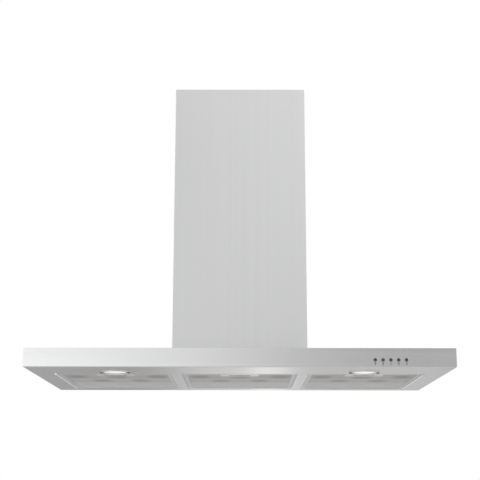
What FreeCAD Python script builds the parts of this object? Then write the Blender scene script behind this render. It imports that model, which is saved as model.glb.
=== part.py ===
"""Wall-mounted range hood: a flat stainless canopy with three mesh filters, two lamps and five
push buttons, under a telescopic chimney that hides the blower.

Millimetres. The origin is on the wall plane, in the middle of the hood, level with the underside
of the canopy. +X is to the right as the cook sees it, +Y goes into the wall and +Z is up."""
import FreeCAD, Part
import math
import os
import Sketcher

SIZES = {
    # Canopy: a shallow pan folded from one sheet, with a lid let in under its top return.
    "hood_width": 900,
    "hood_depth": 500,
    "canopy_height": 40,
    "canopy_sheet": 1,
    "canopy_bend": 1.5,
    "top_return": 16,
    "rear_return": 6,
    "lid_gap": 0.5,
    # Windows in the underside, one to a filter, with folded side flanges.
    "front_strip": 135,
    "side_margin": 48.5,
    "window_depth": 314,
    "divider_width": 22,
    "window_flange": 10,
    # Filter cassettes: aluminium channel round an expanded sheet and a corrugated core.
    "filter_side_gap": 1,
    "filter_front_gap": 1.5,
    "filter_rear_gap": 3,
    "filter_recess": 0.5,
    "filter_thickness": 9,
    "filter_border": 10,
    "filter_web": 1,
    "filter_lip": 0.8,
    "tab_width": 14,
    "tab_reach": 8,
    "tab_thickness": 1.2,
    "tab_clearance": 0.3,
    "tab_spacing": 160,
    "mesh_thickness": 0.8,
    "mesh_strand": 4,
    "core_pitch": 30,
    "core_sheet": 0.8,
    "channel_fit": 0.2,
    # Latch let into the front of each filter.
    "latch_width": 84,
    "latch_depth": 46,
    "latch_recess_width": 46,
    "latch_recess_depth": 34,
    "latch_recess_height": 6,
    "latch_rim": 1.5,
    "slider_depth": 23,
    "slider_height": 4,
    "slider_gap": 0.4,
    "scoop_margin": 2.4,
    "scoop_radius": 9,
    "scoop_depth": 2,
    "bolt_width": 12,
    "bolt_height": 2.4,
    "bolt_lift": 1.1,
    "bolt_reach": 1,
    "spring_strip": 0.6,
    "spring_height": 3,
    # Lamps in the front strip.
    "lamp_inset": 182,
    "lamp_setback": 93,
    "bezel_radius": 34,
    "bezel_drop": 2.4,
    "bezel_mouth_radius": 23,
    "lamp_hole_radius": 30,
    "lamp_can_radius": 29.6,
    "lamp_can_height": 24,
    "lens_thickness": 2.2,
    "lens_sink": 0.6,
    "lens_fit": 0.1,
    # Push buttons at the right of the front face.
    "button_inset": 104.2,
    "button_pitch": 16.2,
    "button_level": 15.5,
    "button_radius": 3.3,
    "button_proud": 2.2,
    "button_hole_gap": 0.3,
    "button_flange": 9,
    "button_flange_thickness": 1.2,
    "button_stem": 3,
    "button_stem_length": 8,
    "button_travel": 2,
    "button_rest_gap": 0.8,
    "guide_margin": 9,
    "guide_height": 15,
    "guide_depth": 10,
    "guide_gap": 0.3,
    "switch_depth": 12,
    "switch_recess": 6,
    # Electrical box under the lid.
    "box_width": 190,
    "box_depth": 108,
    "box_height": 25,
    "box_wall": 1.5,
    "box_front": 12,
    "board_width": 120,
    "board_depth": 84,
    "board_thickness": 1.6,
    "board_lift": 7,
    "board_offset": 20,
    "post_width": 6,
    "post_inset": 7,
    "relay_width": 20,
    "relay_depth": 15,
    "relay_height": 9,
    "capacitor_width": 17,
    "capacitor_length": 46,
    "capacitor_height": 21,
    "terminal_width": 40,
    "terminal_depth": 18,
    "terminal_height": 12,
    "terminal_pitch": 8,
    "terminal_port": 4.5,
    # Blower box standing on the lid, inside the chimney.
    "blower_width": 264,
    "blower_depth": 246,
    "blower_height": 340,
    "blower_sheet": 0.8,
    "blower_wall_gap": 10,
    "blower_flange": 10,
    "ear_length": 40,
    "ear_height": 15,
    "ear_setback": 100,
    # Scroll case and wheel of the blower, which draws in air on its left side.
    "scroll_wall": 2,
    "scroll_width": 104,
    "scroll_radius": 100,
    "scroll_growth": 10,
    "scroll_back_gap": 1.2,
    "outlet_width": 150,
    "axle_height": 131,
    "inlet_radius": 74,
    "shaft_hole_radius": 7,
    "wheel_radius": 90,
    "wheel_ring_thickness": 1.6,
    "wheel_width": 86,
    "blade_chord_depth": 14,
    "blade_thickness": 1.2,
    "blade_curve_radius": 40,
    "blade_end_gap": 0.5,
    "wheel_disc": 2,
    "hub_radius": 13,
    "hub_length": 18,
    "shaft_radius": 4,
    "shaft_fit": 0.05,
    "shaft_end": 5,
    "motor_radius": 46,
    "motor_length": 60,
    "motor_bore": 24,
    # Outlet collar with two non-return flaps.
    "collar_radius": 75,
    "collar_wall": 2.5,
    "collar_height": 60,
    "collar_flange_half_width": 90,
    "collar_flange_half_depth": 78,
    "collar_flange": 2.5,
    "flap_level": 26,
    "flap_gap": 0.8,
    "flap_thickness": 1.5,
    "flap_pivot": 4.5,
    "flap_barrel_radius": 1.6,
    "flap_corner": 5,
    "pin_gap": 0.15,
    "pin_rest_depth": 6,
    "pin_rest_margin": 3,
    "pin_rest_rise": 2,
    "ledge_width": 2.5,
    "ledge_gap": 0.3,
    "gland_nut_radius": 11,
    "gland_nut_height": 14,
    "gland_bore_radius": 4,
    "gland_inset": 20,
    # Wall hooks and keyholes in the back of the blower box.
    "hook_offset": 105,
    "hook_drop": 49,
    "hook_plate_width": 36,
    "hook_plate_height": 60,
    "hook_plate": 2.5,
    "hook_tongue_width": 20,
    "hook_lip": 10,
    "hook_slot_gap": 3,
    "hook_fit": 0.3,
    "hook_hole_radius": 2.75,
    "hook_hole_rise": 20,
    # Chimney: an upper cover that slides out of the lower one.
    "chimney_width": 310,
    "chimney_depth": 270,
    "chimney_height": 658,
    "chimney_sheet": 0.8,
    "chimney_bend": 1.5,
    "chimney_back_flange": 15,
    "cover_gap": 1,
    "upper_height": 640,
    "vent_length": 60,
    "vent_height": 5,
    "vent_pitch": 14,
    "vent_top": 30,
    "bracket_strip": 1.2,
    "bracket_height": 30,
    "bracket_ear": 40,
    "bracket_drop": 40,
    "bracket_slot_spacing": 180,
    "bracket_slot_length": 16,
    "bracket_slot_radius": 3,
    # One overrun serves every cut that has to pass right through.
    "overrun": 2,
}

MESH_COLUMNS = 4
MESH_ROWS = 5
VENT_COUNT = 5
BLADE_COUNT = 20
BUTTON_NAMES = ("lamp", "stop", "low", "medium", "high")
FILTER_SIDES = {"left": -1, "middle": 0, "right": 1}

DOC = FreeCAD.newDocument("RangeHood")
PARTS = []


class Size:
    """A length of the hood: its value now, and the words that work it out from the sheet."""

    def __init__(self, value, words):
        self.value = value
        self.words = words

    def __add__(self, other):
        return Size(self.value + number(other), f"({self.words} + {words(other)})")

    def __radd__(self, other):
        return Size(number(other) + self.value, f"({words(other)} + {self.words})")

    def __sub__(self, other):
        return Size(self.value - number(other), f"({self.words} - {words(other)})")

    def __rsub__(self, other):
        return Size(number(other) - self.value, f"({words(other)} - {self.words})")

    def __mul__(self, other):
        return Size(self.value * number(other), f"({self.words} * {words(other)})")

    __rmul__ = __mul__

    def __truediv__(self, other):
        return Size(self.value / number(other), f"({self.words} / {words(other)})")

    def __neg__(self):
        return Size(-self.value, f"(0 - {self.words})")


def number(quantity):
    return quantity.value if isinstance(quantity, Size) else quantity


def words(quantity):
    return quantity.words if isinstance(quantity, Size) else repr(quantity)


class Sheet:
    """The spreadsheet of driving dimensions, read as sheet.hood_width and so on."""

    def __init__(self, sizes):
        table = DOC.addObject("Spreadsheet::Sheet", "Sizes")
        for row, (alias, value) in enumerate(sizes.items(), 1):
            table.set(f"A{row}", alias)
            table.set(f"B{row}", str(value))
            table.setAlias(f"B{row}", alias)
            setattr(self, alias, Size(value, f"Sizes.{alias}"))
        DOC.recompute()


size = Sheet(SIZES)


# Shared ways of drawing and cutting

def point(x, y, z=0):
    return FreeCAD.Vector(number(x), number(y), number(z))


def bind(thing, **settings):
    for name, quantity in settings.items():
        thing.setExpression(name, words(quantity))


def place(thing, x=0, y=0, z=0):
    thing.Placement = FreeCAD.Placement(point(x, y, z), thing.Placement.Rotation)
    for letter, quantity in (("x", x), ("y", y), ("z", z)):
        thing.setExpression(f"Placement.Base.{letter}", words(quantity))


def keep(thing, label):
    thing.Label = label
    PARTS.append(thing)
    return thing


def new_body(label):
    return keep(DOC.addObject("PartDesign::Body", "Body_" + label), label)


def sketch_on(body, name, role, lift=0):
    """An empty sketch on one of the body's origin planes, lifted along that plane's normal."""
    sketch = body.newObject("Sketcher::SketchObject", name)
    plane = next(f for f in body.Origin.OriginFeatures if f.Role == role)
    sketch.AttachmentSupport = [(plane, "")]
    sketch.MapMode = "FlatFace"
    sketch.setExpression("AttachmentOffset.Base.z", words(lift))
    return sketch


def pin_point(sketch, geometry, end, u, v):
    for kind, quantity in (("DistanceX", u), ("DistanceY", v)):
        index = sketch.addConstraint(
            Sketcher.Constraint(kind, -1, 1, geometry, end, number(quantity))
        )
        sketch.renameConstraint(index, f"{kind}{index}")
        sketch.setExpression(f"Constraints.{kind}{index}", words(quantity))


def add_loop(sketch, points):
    first = sketch.GeometryCount
    count = len(points)
    for i, (u, v) in enumerate(points):
        p, q = points[(i + 1) % count]
        sketch.addGeometry(Part.LineSegment(point(u, v), point(p, q)), False)
    for i, (u, v) in enumerate(points):
        following = first + (i + 1) % count
        sketch.addConstraint(Sketcher.Constraint("Coincident", first + i, 2, following, 1))
        pin_point(sketch, first + i, 1, u, v)


def add_rectangle(sketch, left, low, right, high):
    add_loop(sketch, [(left, low), (right, low), (right, high), (left, high)])


def add_circle(sketch, u, v, radius):
    geometry = sketch.addGeometry(
        Part.Circle(point(u, v), FreeCAD.Vector(0, 0, 1), number(radius)), False
    )
    pin_point(sketch, geometry, 3, u, v)
    index = sketch.addConstraint(Sketcher.Constraint("Radius", geometry, number(radius)))
    sketch.renameConstraint(index, f"Radius{index}")
    sketch.setExpression(f"Constraints.Radius{index}", words(radius))


def pad(body, sketch, length, midplane=False, backwards=False):
    feature = body.newObject("PartDesign::Pad", sketch.Name + "_pad")
    feature.Profile = sketch
    feature.Midplane = midplane
    feature.Reversed = backwards
    bind(feature, Length=length)
    sketch.Visibility = False
    return feature


def pocket(body, sketch, length, along_normal=False):
    """Cut to a length against the sketch's normal, or along it."""
    before = solid_volume(body)
    feature = body.newObject("PartDesign::Pocket", sketch.Name + "_pocket")
    feature.Profile = sketch
    feature.Reversed = along_normal
    bind(feature, Length=length)
    if not solid_volume(body) < before:
        raise RuntimeError(f"{body.Label}: {sketch.Name} cuts nothing")
    return feature


def turn(body, sketch, axis="V_Axis"):
    feature = body.newObject("PartDesign::Revolution", sketch.Name + "_turned")
    feature.Profile = sketch
    feature.ReferenceAxis = (sketch, [axis])
    feature.Angle = 360
    return feature


def solid_volume(body):
    DOC.recompute()
    return body.Shape.Volume


def round_edges(body, radius, wanted):
    """Fillet the edges of the body's last feature that the test picks."""
    DOC.recompute()
    base = body.Tip
    names = [f"Edge{i}" for i, edge in enumerate(base.Shape.Edges, 1) if wanted(edge)]
    feature = body.newObject("PartDesign::Fillet", "Rounding")
    feature.Base = (base, names)
    bind(feature, Radius=radius)
    return feature


def hollow(body, thickness, opening):
    """Shell the body's last feature inwards, open at the face that the test picks."""
    DOC.recompute()
    base = body.Tip
    names = [f"Face{i}" for i, face in enumerate(base.Shape.Faces, 1) if opening(face)]
    feature = body.newObject("PartDesign::Thickness", "Hollow")
    feature.Base = (base, names)
    feature.Reversed = True
    feature.Join = "Intersection"
    bind(feature, Value=thickness)
    return feature


def flat_at(level, axis="Z"):
    """A test for a face that lies flat at a level, square to an axis."""

    def test(face):
        box = face.BoundBox
        low, high = getattr(box, axis + "Min"), getattr(box, axis + "Max")
        tolerance = number(size.canopy_sheet) / 100
        return abs(low - number(level)) < tolerance and abs(high - number(level)) < tolerance

    return test


def block(name, left, front, low, right, back, high):
    box = DOC.addObject("Part::Box", name)
    bind(box, Length=right - left, Width=back - front, Height=high - low)
    place(box, left, front, low)
    return box


def rod(name, radius, length, x, y, z, direction=(0, 0, 1)):
    """A cylinder from a point along one of the axes."""
    cylinder = DOC.addObject("Part::Cylinder", name)
    cylinder.Placement.Rotation = FreeCAD.Rotation(
        FreeCAD.Vector(0, 0, 1), FreeCAD.Vector(*direction)
    )
    bind(cylinder, Radius=radius, Height=length)
    place(cylinder, x, y, z)
    return cylinder


def join(name, *pieces):
    fused = DOC.addObject("Part::MultiFuse", name)
    fused.Shapes = list(pieces)
    return fused


def cut(name, base, *tools):
    result = DOC.addObject("Part::Cut", name)
    result.Base = base
    result.Tool = tools[0] if len(tools) == 1 else join(name + "_tools", *tools)
    return result


def shape_part(label, shape):
    feature = DOC.addObject("Part::Feature", "Shape_" + label)
    feature.Shape = shape
    return keep(feature, label)


def pair(label, right_hand):
    """A piece and its mirror image on the other side of the hood, as one group."""
    left_hand = DOC.addObject("Part::Mirroring", label + "_mirrored")
    left_hand.Source = right_hand
    left_hand.Normal = FreeCAD.Vector(1, 0, 0)
    both = DOC.addObject("Part::Compound", label + "_pair")
    both.Links = [right_hand, left_hand]
    return keep(both, label)


# Places that several pieces share

half_width = size.hood_width / 2
front = -size.hood_depth
lid_top = size.canopy_height - size.canopy_sheet
window_front = front + size.front_strip
window_back = window_front + size.window_depth
window_width = (size.hood_width - size.side_margin * 2 - size.divider_width * 2) / 3
window_pitch = window_width + size.divider_width
filter_half = window_width / 2 - size.filter_side_gap
filter_front = window_front + size.filter_front_gap
filter_back = window_back - size.filter_rear_gap
filter_low = size.filter_recess
filter_high = size.filter_recess + size.filter_thickness
lamp_x = half_width - size.lamp_inset
lamp_y = front + size.lamp_setback
blower_back = -size.blower_wall_gap
blower_front = blower_back - size.blower_depth
blower_top = lid_top + size.blower_height
axle_y = (blower_back - size.blower_sheet - size.scroll_back_gap - size.scroll_wall
          - size.scroll_radius - size.scroll_growth * 2.5)
axle_z = lid_top + size.axle_height
outlet_back = axle_y + size.scroll_radius + size.scroll_growth * 2.5
outlet_y = outlet_back - size.outlet_width / 2
chimney_half = size.chimney_width / 2
chimney_top = size.canopy_height + size.chimney_height


def button_x(index):
    return half_width - size.button_inset - size.button_pitch * (len(BUTTON_NAMES) - 1 - index)


# Canopy

def canopy_shell():
    """The folded pan: walls, underside with windows and lamp holes, and the top return."""
    body = new_body("canopy_shell")
    sheet = size.canopy_sheet
    outline = sketch_on(body, "CanopyOutline", "XY_Plane")
    add_rectangle(outline, -half_width, front, half_width, 0)
    pad(body, outline, size.canopy_height)
    underside, back = flat_at(0), flat_at(0, "Y")
    round_edges(body, size.canopy_bend, lambda edge: underside(edge) and not back(edge))
    inside = sketch_on(body, "CanopyInside", "XY_Plane", sheet)
    add_rectangle(inside, -half_width + sheet, front + sheet, half_width - sheet, -sheet)
    pocket(body, inside, size.canopy_height - sheet * 2, along_normal=True)
    mouth = sketch_on(body, "CanopyMouth", "XY_Plane", size.canopy_height - sheet * 1.5)
    side = half_width - size.top_return
    add_rectangle(mouth, -side, front + size.top_return, side, -size.rear_return)
    pocket(body, mouth, sheet * 1.5 + size.overrun, along_normal=True)
    flanges = sketch_on(body, "WindowFlanges", "XY_Plane")
    for centre in FILTER_SIDES.values():
        for hand in (-1, 1):
            inner = centre * window_pitch + hand * window_width / 2
            outer = inner + hand * sheet
            low, high = (outer, inner) if hand < 0 else (inner, outer)
            add_rectangle(flanges, low, window_front, high, window_back)
    pad(body, flanges, size.window_flange)
    openings = sketch_on(body, "UndersideOpenings", "XY_Plane", -size.overrun)
    for centre in FILTER_SIDES.values():
        middle = centre * window_pitch
        half = window_width / 2
        add_rectangle(openings, middle - half, window_front, middle + half, window_back)
    for hand in (-1, 1):
        add_circle(openings, hand * lamp_x, lamp_y, size.lamp_hole_radius)
    pocket(body, openings, sheet * 1.5 + size.overrun, along_normal=True)
    buttons = sketch_on(body, "ButtonHoles", "XZ_Plane", size.hood_depth + size.overrun)
    for index in range(len(BUTTON_NAMES)):
        radius = size.button_radius + size.button_hole_gap
        add_circle(buttons, button_x(index), size.button_level, radius)
    pocket(body, buttons, sheet + size.overrun * 2)


def canopy_lid():
    """The lid, spot-welded under the top return, with the air opening below the blower."""
    body = new_body("canopy_lid")
    outline = sketch_on(body, "LidOutline", "XY_Plane", lid_top - size.canopy_sheet)
    inset = size.canopy_sheet + size.lid_gap
    add_rectangle(outline, -half_width + inset, front + inset, half_width - inset, -inset)
    edge = size.blower_flange
    add_rectangle(outline, -size.blower_width / 2 + edge, blower_front + edge,
                  size.blower_width / 2 - edge, blower_back - edge)
    pad(body, outline, size.canopy_sheet)


# Filters, each hinged at its rear tabs

def filter_frame(side):
    """Channel frame with the opening for the latch and two tabs over the rear strip."""
    body = new_body("filter_frame_" + side)
    middle = FILTER_SIDES[side] * window_pitch
    border = size.filter_border
    web = size.filter_web
    low = sketch_on(body, "FrameOutline", "XY_Plane", filter_low)
    add_rectangle(low, middle - filter_half, filter_front, middle + filter_half, filter_back)
    inner = filter_half - border
    latch_half = size.latch_width / 2 + size.channel_fit
    add_loop(low, [
        (middle - inner, filter_front + border),
        (middle - latch_half, filter_front + border),
        (middle - latch_half, filter_front + web),
        (middle + latch_half, filter_front + web),
        (middle + latch_half, filter_front + border),
        (middle + inner, filter_front + border),
        (middle + inner, filter_back - border),
        (middle - inner, filter_back - border),
    ])
    pad(body, low, size.filter_thickness)
    channel = sketch_on(body, "Channel", "XY_Plane", filter_low + size.filter_lip)
    add_rectangle(channel, middle - filter_half + web, filter_front + web,
                  middle + filter_half - web, filter_back - web)
    pocket(body, channel, size.filter_thickness - size.filter_lip * 2, along_normal=True)
    tabs = sketch_on(body, "RearTabs", "XY_Plane", size.canopy_sheet + size.tab_clearance)
    for hand in (-1, 1):
        x = middle + hand * size.tab_spacing / 2
        add_rectangle(tabs, x - size.tab_width / 2, filter_back - web,
                      x + size.tab_width / 2, window_back + size.tab_reach)
    pad(body, tabs, size.tab_thickness)
    slot = sketch_on(body, "BoltSlot", "XZ_Plane", -filter_front + size.overrun)
    bolt_half = size.bolt_width / 2 + size.slider_gap
    bolt_low = filter_low + size.bolt_lift - size.slider_gap
    add_rectangle(slot, middle - bolt_half, bolt_low,
                  middle + bolt_half, bolt_low + size.bolt_height + size.slider_gap * 2)
    pocket(body, slot, size.overrun + web * 1.5)


def latch_notch(middle):
    """The corners, in plan, of what the mesh and the core leave free for the latch."""
    half = size.latch_width / 2 + size.channel_fit * 2
    back = filter_front + size.filter_web + size.latch_depth + size.channel_fit
    return middle - half, middle + half, back


def pack_outline(middle, low):
    """The outline of a layer that fills the channel frame, notched for the latch."""
    fit = size.filter_web + size.channel_fit
    left, right = middle - filter_half + fit, middle + filter_half - fit
    near, far = filter_front + fit, filter_back - fit
    notch_left, notch_right, notch_back = latch_notch(middle)
    corners = [(left, near), (notch_left, near), (notch_left, notch_back),
               (notch_right, notch_back), (notch_right, near), (right, near),
               (right, far), (left, far)]
    return Part.makePolygon([point(x, y, low) for x, y in corners + corners[:1]])


def filter_mesh(side):
    """The expanded sheet that shows: a plate with staggered lozenge openings."""
    middle = FILTER_SIDES[side] * window_pitch
    low = filter_low + size.filter_lip
    border = size.filter_border + size.mesh_strand / 2
    width = number(filter_half - border) * 2
    start = number(filter_front + border)
    depth = number(filter_back - border) - start
    column, row = width / MESH_COLUMNS, depth / MESH_ROWS
    strand = number(size.mesh_strand)
    half_x, half_y = (column - strand) / 2, row - strand / 2
    notch_left, notch_right, notch_back = (number(edge) for edge in latch_notch(middle))
    wires = [pack_outline(middle, low)]
    for j in range(1, MESH_ROWS):
        shift = (j % 2) / 2
        for i in range(MESH_COLUMNS - j % 2):
            x = number(middle) - width / 2 + column * (i + 0.5 + shift)
            y = start + row * j
            beside = x + half_x < notch_left - strand or x - half_x > notch_right + strand
            if beside or y - half_y > notch_back + strand:
                corners = [(x - half_x, y), (x, y - half_y), (x + half_x, y), (x, y + half_y)]
                wires.append(Part.makePolygon(
                    [point(u, v, low) for u, v in corners + corners[:1]]))
    plate = Part.makeFace(wires, "Part::FaceMakerBullseye")
    shape_part("filter_mesh_" + side, plate.extrude(point(0, 0, size.mesh_thickness)))


def filter_core(side):
    """The corrugated layer behind the mesh, which catches the grease."""
    middle = FILTER_SIDES[side] * window_pitch
    low = number(filter_low + size.filter_lip + size.mesh_thickness + size.channel_fit)
    high = number(filter_high - size.filter_lip - size.channel_fit)
    fit = size.filter_web + size.channel_fit
    left, right = number(middle - filter_half + fit), number(middle + filter_half - fit)
    steps = max(2, round((right - left) / number(size.core_pitch))) * 2
    sheet = number(size.core_sheet)
    under, over = [], []
    for i in range(steps + 1):
        x = left + (right - left) * i / steps
        crest = i % 2 * (high - low - sheet)
        under.append(point(x, filter_front + fit, low + crest))
        over.append(point(x, filter_front + fit, low + crest + sheet))
    outline = Part.makePolygon(under + over[::-1] + under[:1])
    depth = filter_back - filter_front - fit * 2
    wave = Part.Face(outline).extrude(point(0, depth, 0))
    notch_left, notch_right, notch_back = latch_notch(middle)
    notch = Part.makeBox(
        number(notch_right - notch_left),
        number(notch_back - filter_front),
        number(size.filter_thickness),
        point(notch_left, filter_front, filter_low),
    )
    shape_part("filter_core_" + side, wave.cut(notch))


def latch_housing(side):
    """The moulded tray between the frame's lips, with a finger recess and the bolt's slot."""
    body = new_body("latch_housing_" + side)
    middle = FILTER_SIDES[side] * window_pitch
    half = size.latch_width / 2
    near = filter_front + size.filter_web
    outline = sketch_on(body, "LatchOutline", "XY_Plane", filter_low)
    add_rectangle(outline, middle - half, near, middle + half, near + size.latch_depth)
    pad(body, outline, size.filter_thickness)
    recess = sketch_on(body, "LatchRecess", "XY_Plane", filter_low - size.overrun)
    recess_half = size.latch_recess_width / 2
    recess_front = near + size.latch_rim
    add_rectangle(recess, middle - recess_half, recess_front,
                  middle + recess_half, recess_front + size.latch_recess_depth)
    pocket(body, recess, size.overrun + size.latch_recess_height, along_normal=True)
    slot = sketch_on(body, "BoltGuide", "XZ_Plane", -near + size.overrun)
    bolt_half = size.bolt_width / 2 + size.slider_gap
    bolt_low = filter_low + size.bolt_lift - size.slider_gap
    add_rectangle(slot, middle - bolt_half, bolt_low,
                  middle + bolt_half, bolt_low + size.bolt_height + size.slider_gap * 2)
    pocket(body, slot, size.overrun + size.latch_rim * 1.5)


def latch_slider(side):
    """The thumb pull and its bolt, one moulding, with a scoop for the finger."""
    body = new_body("latch_slider_" + side)
    middle = FILTER_SIDES[side] * window_pitch
    half = size.latch_recess_width / 2 - size.slider_gap
    near = filter_front + size.filter_web + size.latch_rim + size.slider_gap
    far = near + size.slider_depth
    low = filter_low + size.slider_gap
    outline = sketch_on(body, "SliderOutline", "XY_Plane", low)
    add_rectangle(outline, middle - half, near, middle + half, far)
    pad(body, outline, size.slider_height)
    scoop = sketch_on(body, "Scoop", "YZ_Plane", middle - half + size.scoop_margin)
    add_circle(scoop, (near + far) / 2, low + size.scoop_depth - size.scoop_radius,
               size.scoop_radius)
    pocket(body, scoop, half * 2 - size.scoop_margin * 2, along_normal=True)
    bolt = sketch_on(body, "Bolt", "XZ_Plane", -near - size.bolt_reach)
    bolt_low = filter_low + size.bolt_lift
    add_rectangle(bolt, middle - size.bolt_width / 2, bolt_low,
                  middle + size.bolt_width / 2, bolt_low + size.bolt_height)
    pad(body, bolt, near - filter_front + size.bolt_reach * 2)


def latch_spring(side):
    """The bent leaf spring between the slider and the back of the recess."""
    middle = FILTER_SIDES[side] * window_pitch
    recess_front = filter_front + size.filter_web + size.latch_rim
    near = number(recess_front + size.slider_gap * 2 + size.slider_depth)
    far = number(recess_front + size.latch_recess_depth - size.slider_gap)
    low = number(filter_low + size.slider_gap * 2)
    half = number(size.latch_recess_width) / 2 - number(size.slider_gap) * 4
    strip = number(size.spring_strip)
    bends = [(-1, far), (-0.5, near + strip), (0, far), (0.5, near + strip), (1, far)]
    front_line = [point(middle + half * x, y - strip, low) for x, y in bends]
    back_line = [point(middle + half * x, y, low) for x, y in bends]
    outline = Part.makePolygon(front_line + back_line[::-1] + front_line[:1])
    leaf = Part.Face(outline).extrude(point(0, 0, size.spring_height))
    shape_part("latch_spring_" + side, leaf)


# Lamps

def lamp_housings():
    """The sealed lamps: a turned ring below the sheet, with a recess for the lens, and the
    body that goes up through its hole, in one."""
    body = DOC.addObject("PartDesign::Body", "Body_lamp_housing")
    profile = sketch_on(body, "HousingProfile", "XZ_Plane")
    mouth = size.bezel_mouth_radius
    outer = size.bezel_radius
    can = size.lamp_can_radius
    seat = size.lens_thickness - size.lens_sink
    add_loop(profile, [
        (mouth, -size.bezel_drop),
        (outer, -size.bezel_drop),
        (outer, 0),
        (can, 0),
        (can, size.lamp_can_height),
        (0, size.lamp_can_height),
        (0, seat),
        (mouth, seat),
    ])
    turn(body, profile)
    place(body, lamp_x, lamp_y, 0)
    pair("lamp_housings", body)


def lamp_lenses():
    """The frosted lenses, each in the recess of its ring."""
    radius = size.bezel_mouth_radius - size.lens_fit
    lens = rod("LensDisc", radius, size.lens_thickness, lamp_x, lamp_y, -size.lens_sink)
    pair("lamp_lenses", lens)


# Push buttons and their switches

def add_square(sketch, u, v, width):
    add_rectangle(sketch, u - width / 2, v - width / 2, u + width / 2, v + width / 2)


def push_button(index, name):
    """A round cap on a square flange behind the sheet, with a stem to its switch."""
    body = new_body("button_" + name)
    x, level = button_x(index), size.button_level
    face = size.hood_depth + size.button_proud
    cap = sketch_on(body, "Cap", "XZ_Plane", face)
    add_circle(cap, x, level, size.button_radius)
    reach = size.button_proud + size.canopy_sheet + size.button_rest_gap
    pad(body, cap, reach, backwards=True)
    flange = sketch_on(body, "Flange", "XZ_Plane", face - reach)
    add_square(flange, x, level, size.button_flange)
    pad(body, flange, size.button_flange_thickness, backwards=True)
    stem = sketch_on(body, "Stem", "XZ_Plane", face - reach - size.button_flange_thickness)
    add_square(stem, x, level, size.button_stem)
    pad(body, stem, size.button_stem_length, backwards=True)


def guide_ends():
    return (button_x(0) - size.guide_margin,
            button_x(len(BUTTON_NAMES) - 1) + size.guide_margin)


def button_guide():
    """The moulded strip behind the front sheet, with square ways that keep the caps upright."""
    body = new_body("button_guide")
    near = size.hood_depth - size.canopy_sheet
    left, right = guide_ends()
    low = size.button_level - size.guide_height / 2
    outline = sketch_on(body, "GuideOutline", "XZ_Plane", near)
    add_rectangle(outline, left, low, right, low + size.guide_height)
    for index in range(len(BUTTON_NAMES)):
        way = size.button_stem + size.guide_gap * 2
        add_square(outline, button_x(index), size.button_level, way)
    pad(body, outline, size.guide_depth, backwards=True)
    ways = sketch_on(body, "FlangeWays", "XZ_Plane", near + size.overrun)
    for index in range(len(BUTTON_NAMES)):
        way = size.button_flange + size.guide_gap * 2
        add_square(ways, button_x(index), size.button_level, way)
    stroke = size.button_rest_gap + size.button_travel + size.guide_gap
    pocket(body, ways, size.overrun + stroke + size.button_flange_thickness)


def switch_block():
    """The row of five push switches on the back of the guide."""
    body = new_body("switch_block")
    near = size.hood_depth - size.canopy_sheet - size.guide_depth
    left, right = guide_ends()
    low = size.button_level - size.guide_height / 2
    outline = sketch_on(body, "SwitchOutline", "XZ_Plane", near)
    add_rectangle(outline, left, low, right, low + size.guide_height)
    pad(body, outline, size.switch_depth, backwards=True)
    recess = sketch_on(body, "PlungerRecess", "XZ_Plane", near + size.overrun)
    for index in range(len(BUTTON_NAMES)):
        way = size.button_stem + size.guide_gap * 2
        add_square(recess, button_x(index), size.button_level, way)
    pocket(body, recess, size.overrun + size.switch_recess)


# Electrical box, hung under the lid in front of the filters

box_left = -size.box_width / 2
box_near = front + size.box_front
box_far = box_near + size.box_depth
box_top = lid_top - size.canopy_sheet
box_low = box_top - size.box_height
board_left = box_left + size.board_offset
board_near = box_near + (size.box_depth - size.board_depth) / 2
board_top = box_top - size.box_wall - size.board_lift


def post_places():
    inset = size.post_inset
    return [(board_left + x, board_near + y)
            for x in (inset, size.board_width - inset)
            for y in (inset, size.board_depth - inset)]


def electrical_box():
    body = new_body("electrical_box")
    outline = sketch_on(body, "BoxOutline", "XY_Plane", box_low)
    add_rectangle(outline, box_left, box_near, -box_left, box_far)
    pad(body, outline, size.box_height)
    hollow(body, size.box_wall, flat_at(box_low))
    posts = sketch_on(body, "BoardPosts", "XY_Plane", board_top)
    for x, y in post_places():
        add_square(posts, x, y, size.post_width)
    pad(body, posts, size.board_lift + size.box_wall / 2)


def electrical_cover():
    body = new_body("electrical_cover")
    outline = sketch_on(body, "CoverOutline", "XY_Plane", box_low)
    add_rectangle(outline, box_left, box_near, -box_left, box_far)
    pad(body, outline, size.box_wall, backwards=True)
    spigot = sketch_on(body, "CoverSpigot", "XY_Plane", box_low)
    inset = size.box_wall + size.guide_gap
    far_inset = inset + size.box_wall
    add_rectangle(spigot, box_left + inset, box_near + inset, -box_left - inset,
                  box_far - inset)
    add_rectangle(spigot, box_left + far_inset, box_near + far_inset,
                  -box_left - far_inset, box_far - far_inset)
    pad(body, spigot, size.box_wall)


def control_board():
    """The board with its relays, one for the lamps and one to each speed."""
    body = new_body("control_board")
    outline = sketch_on(body, "BoardOutline", "XY_Plane", board_top)
    add_rectangle(outline, board_left, board_near, board_left + size.board_width,
                  board_near + size.board_depth)
    pad(body, outline, size.board_thickness, backwards=True)
    relays = sketch_on(body, "Relays", "XY_Plane", board_top - size.board_thickness)
    pitch = size.board_width / 4
    for index in range(4):
        x = board_left + pitch * (index + 0.5)
        y = board_near + size.board_depth / 2
        add_rectangle(relays, x - size.relay_width / 2, y - size.relay_depth / 2,
                      x + size.relay_width / 2, y + size.relay_depth / 2)
    pad(body, relays, size.relay_height, backwards=True)


def capacitor():
    """The motor's run capacitor, a potted case on the top of the box."""
    right = -box_left - size.box_wall - size.guide_gap
    near = box_near + size.box_wall
    high = box_top - size.box_wall
    case = block("CapacitorCase", right - size.capacitor_width, near,
                 high - size.capacitor_height, right, near + size.capacitor_length, high)
    keep(case, "capacitor")


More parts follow.
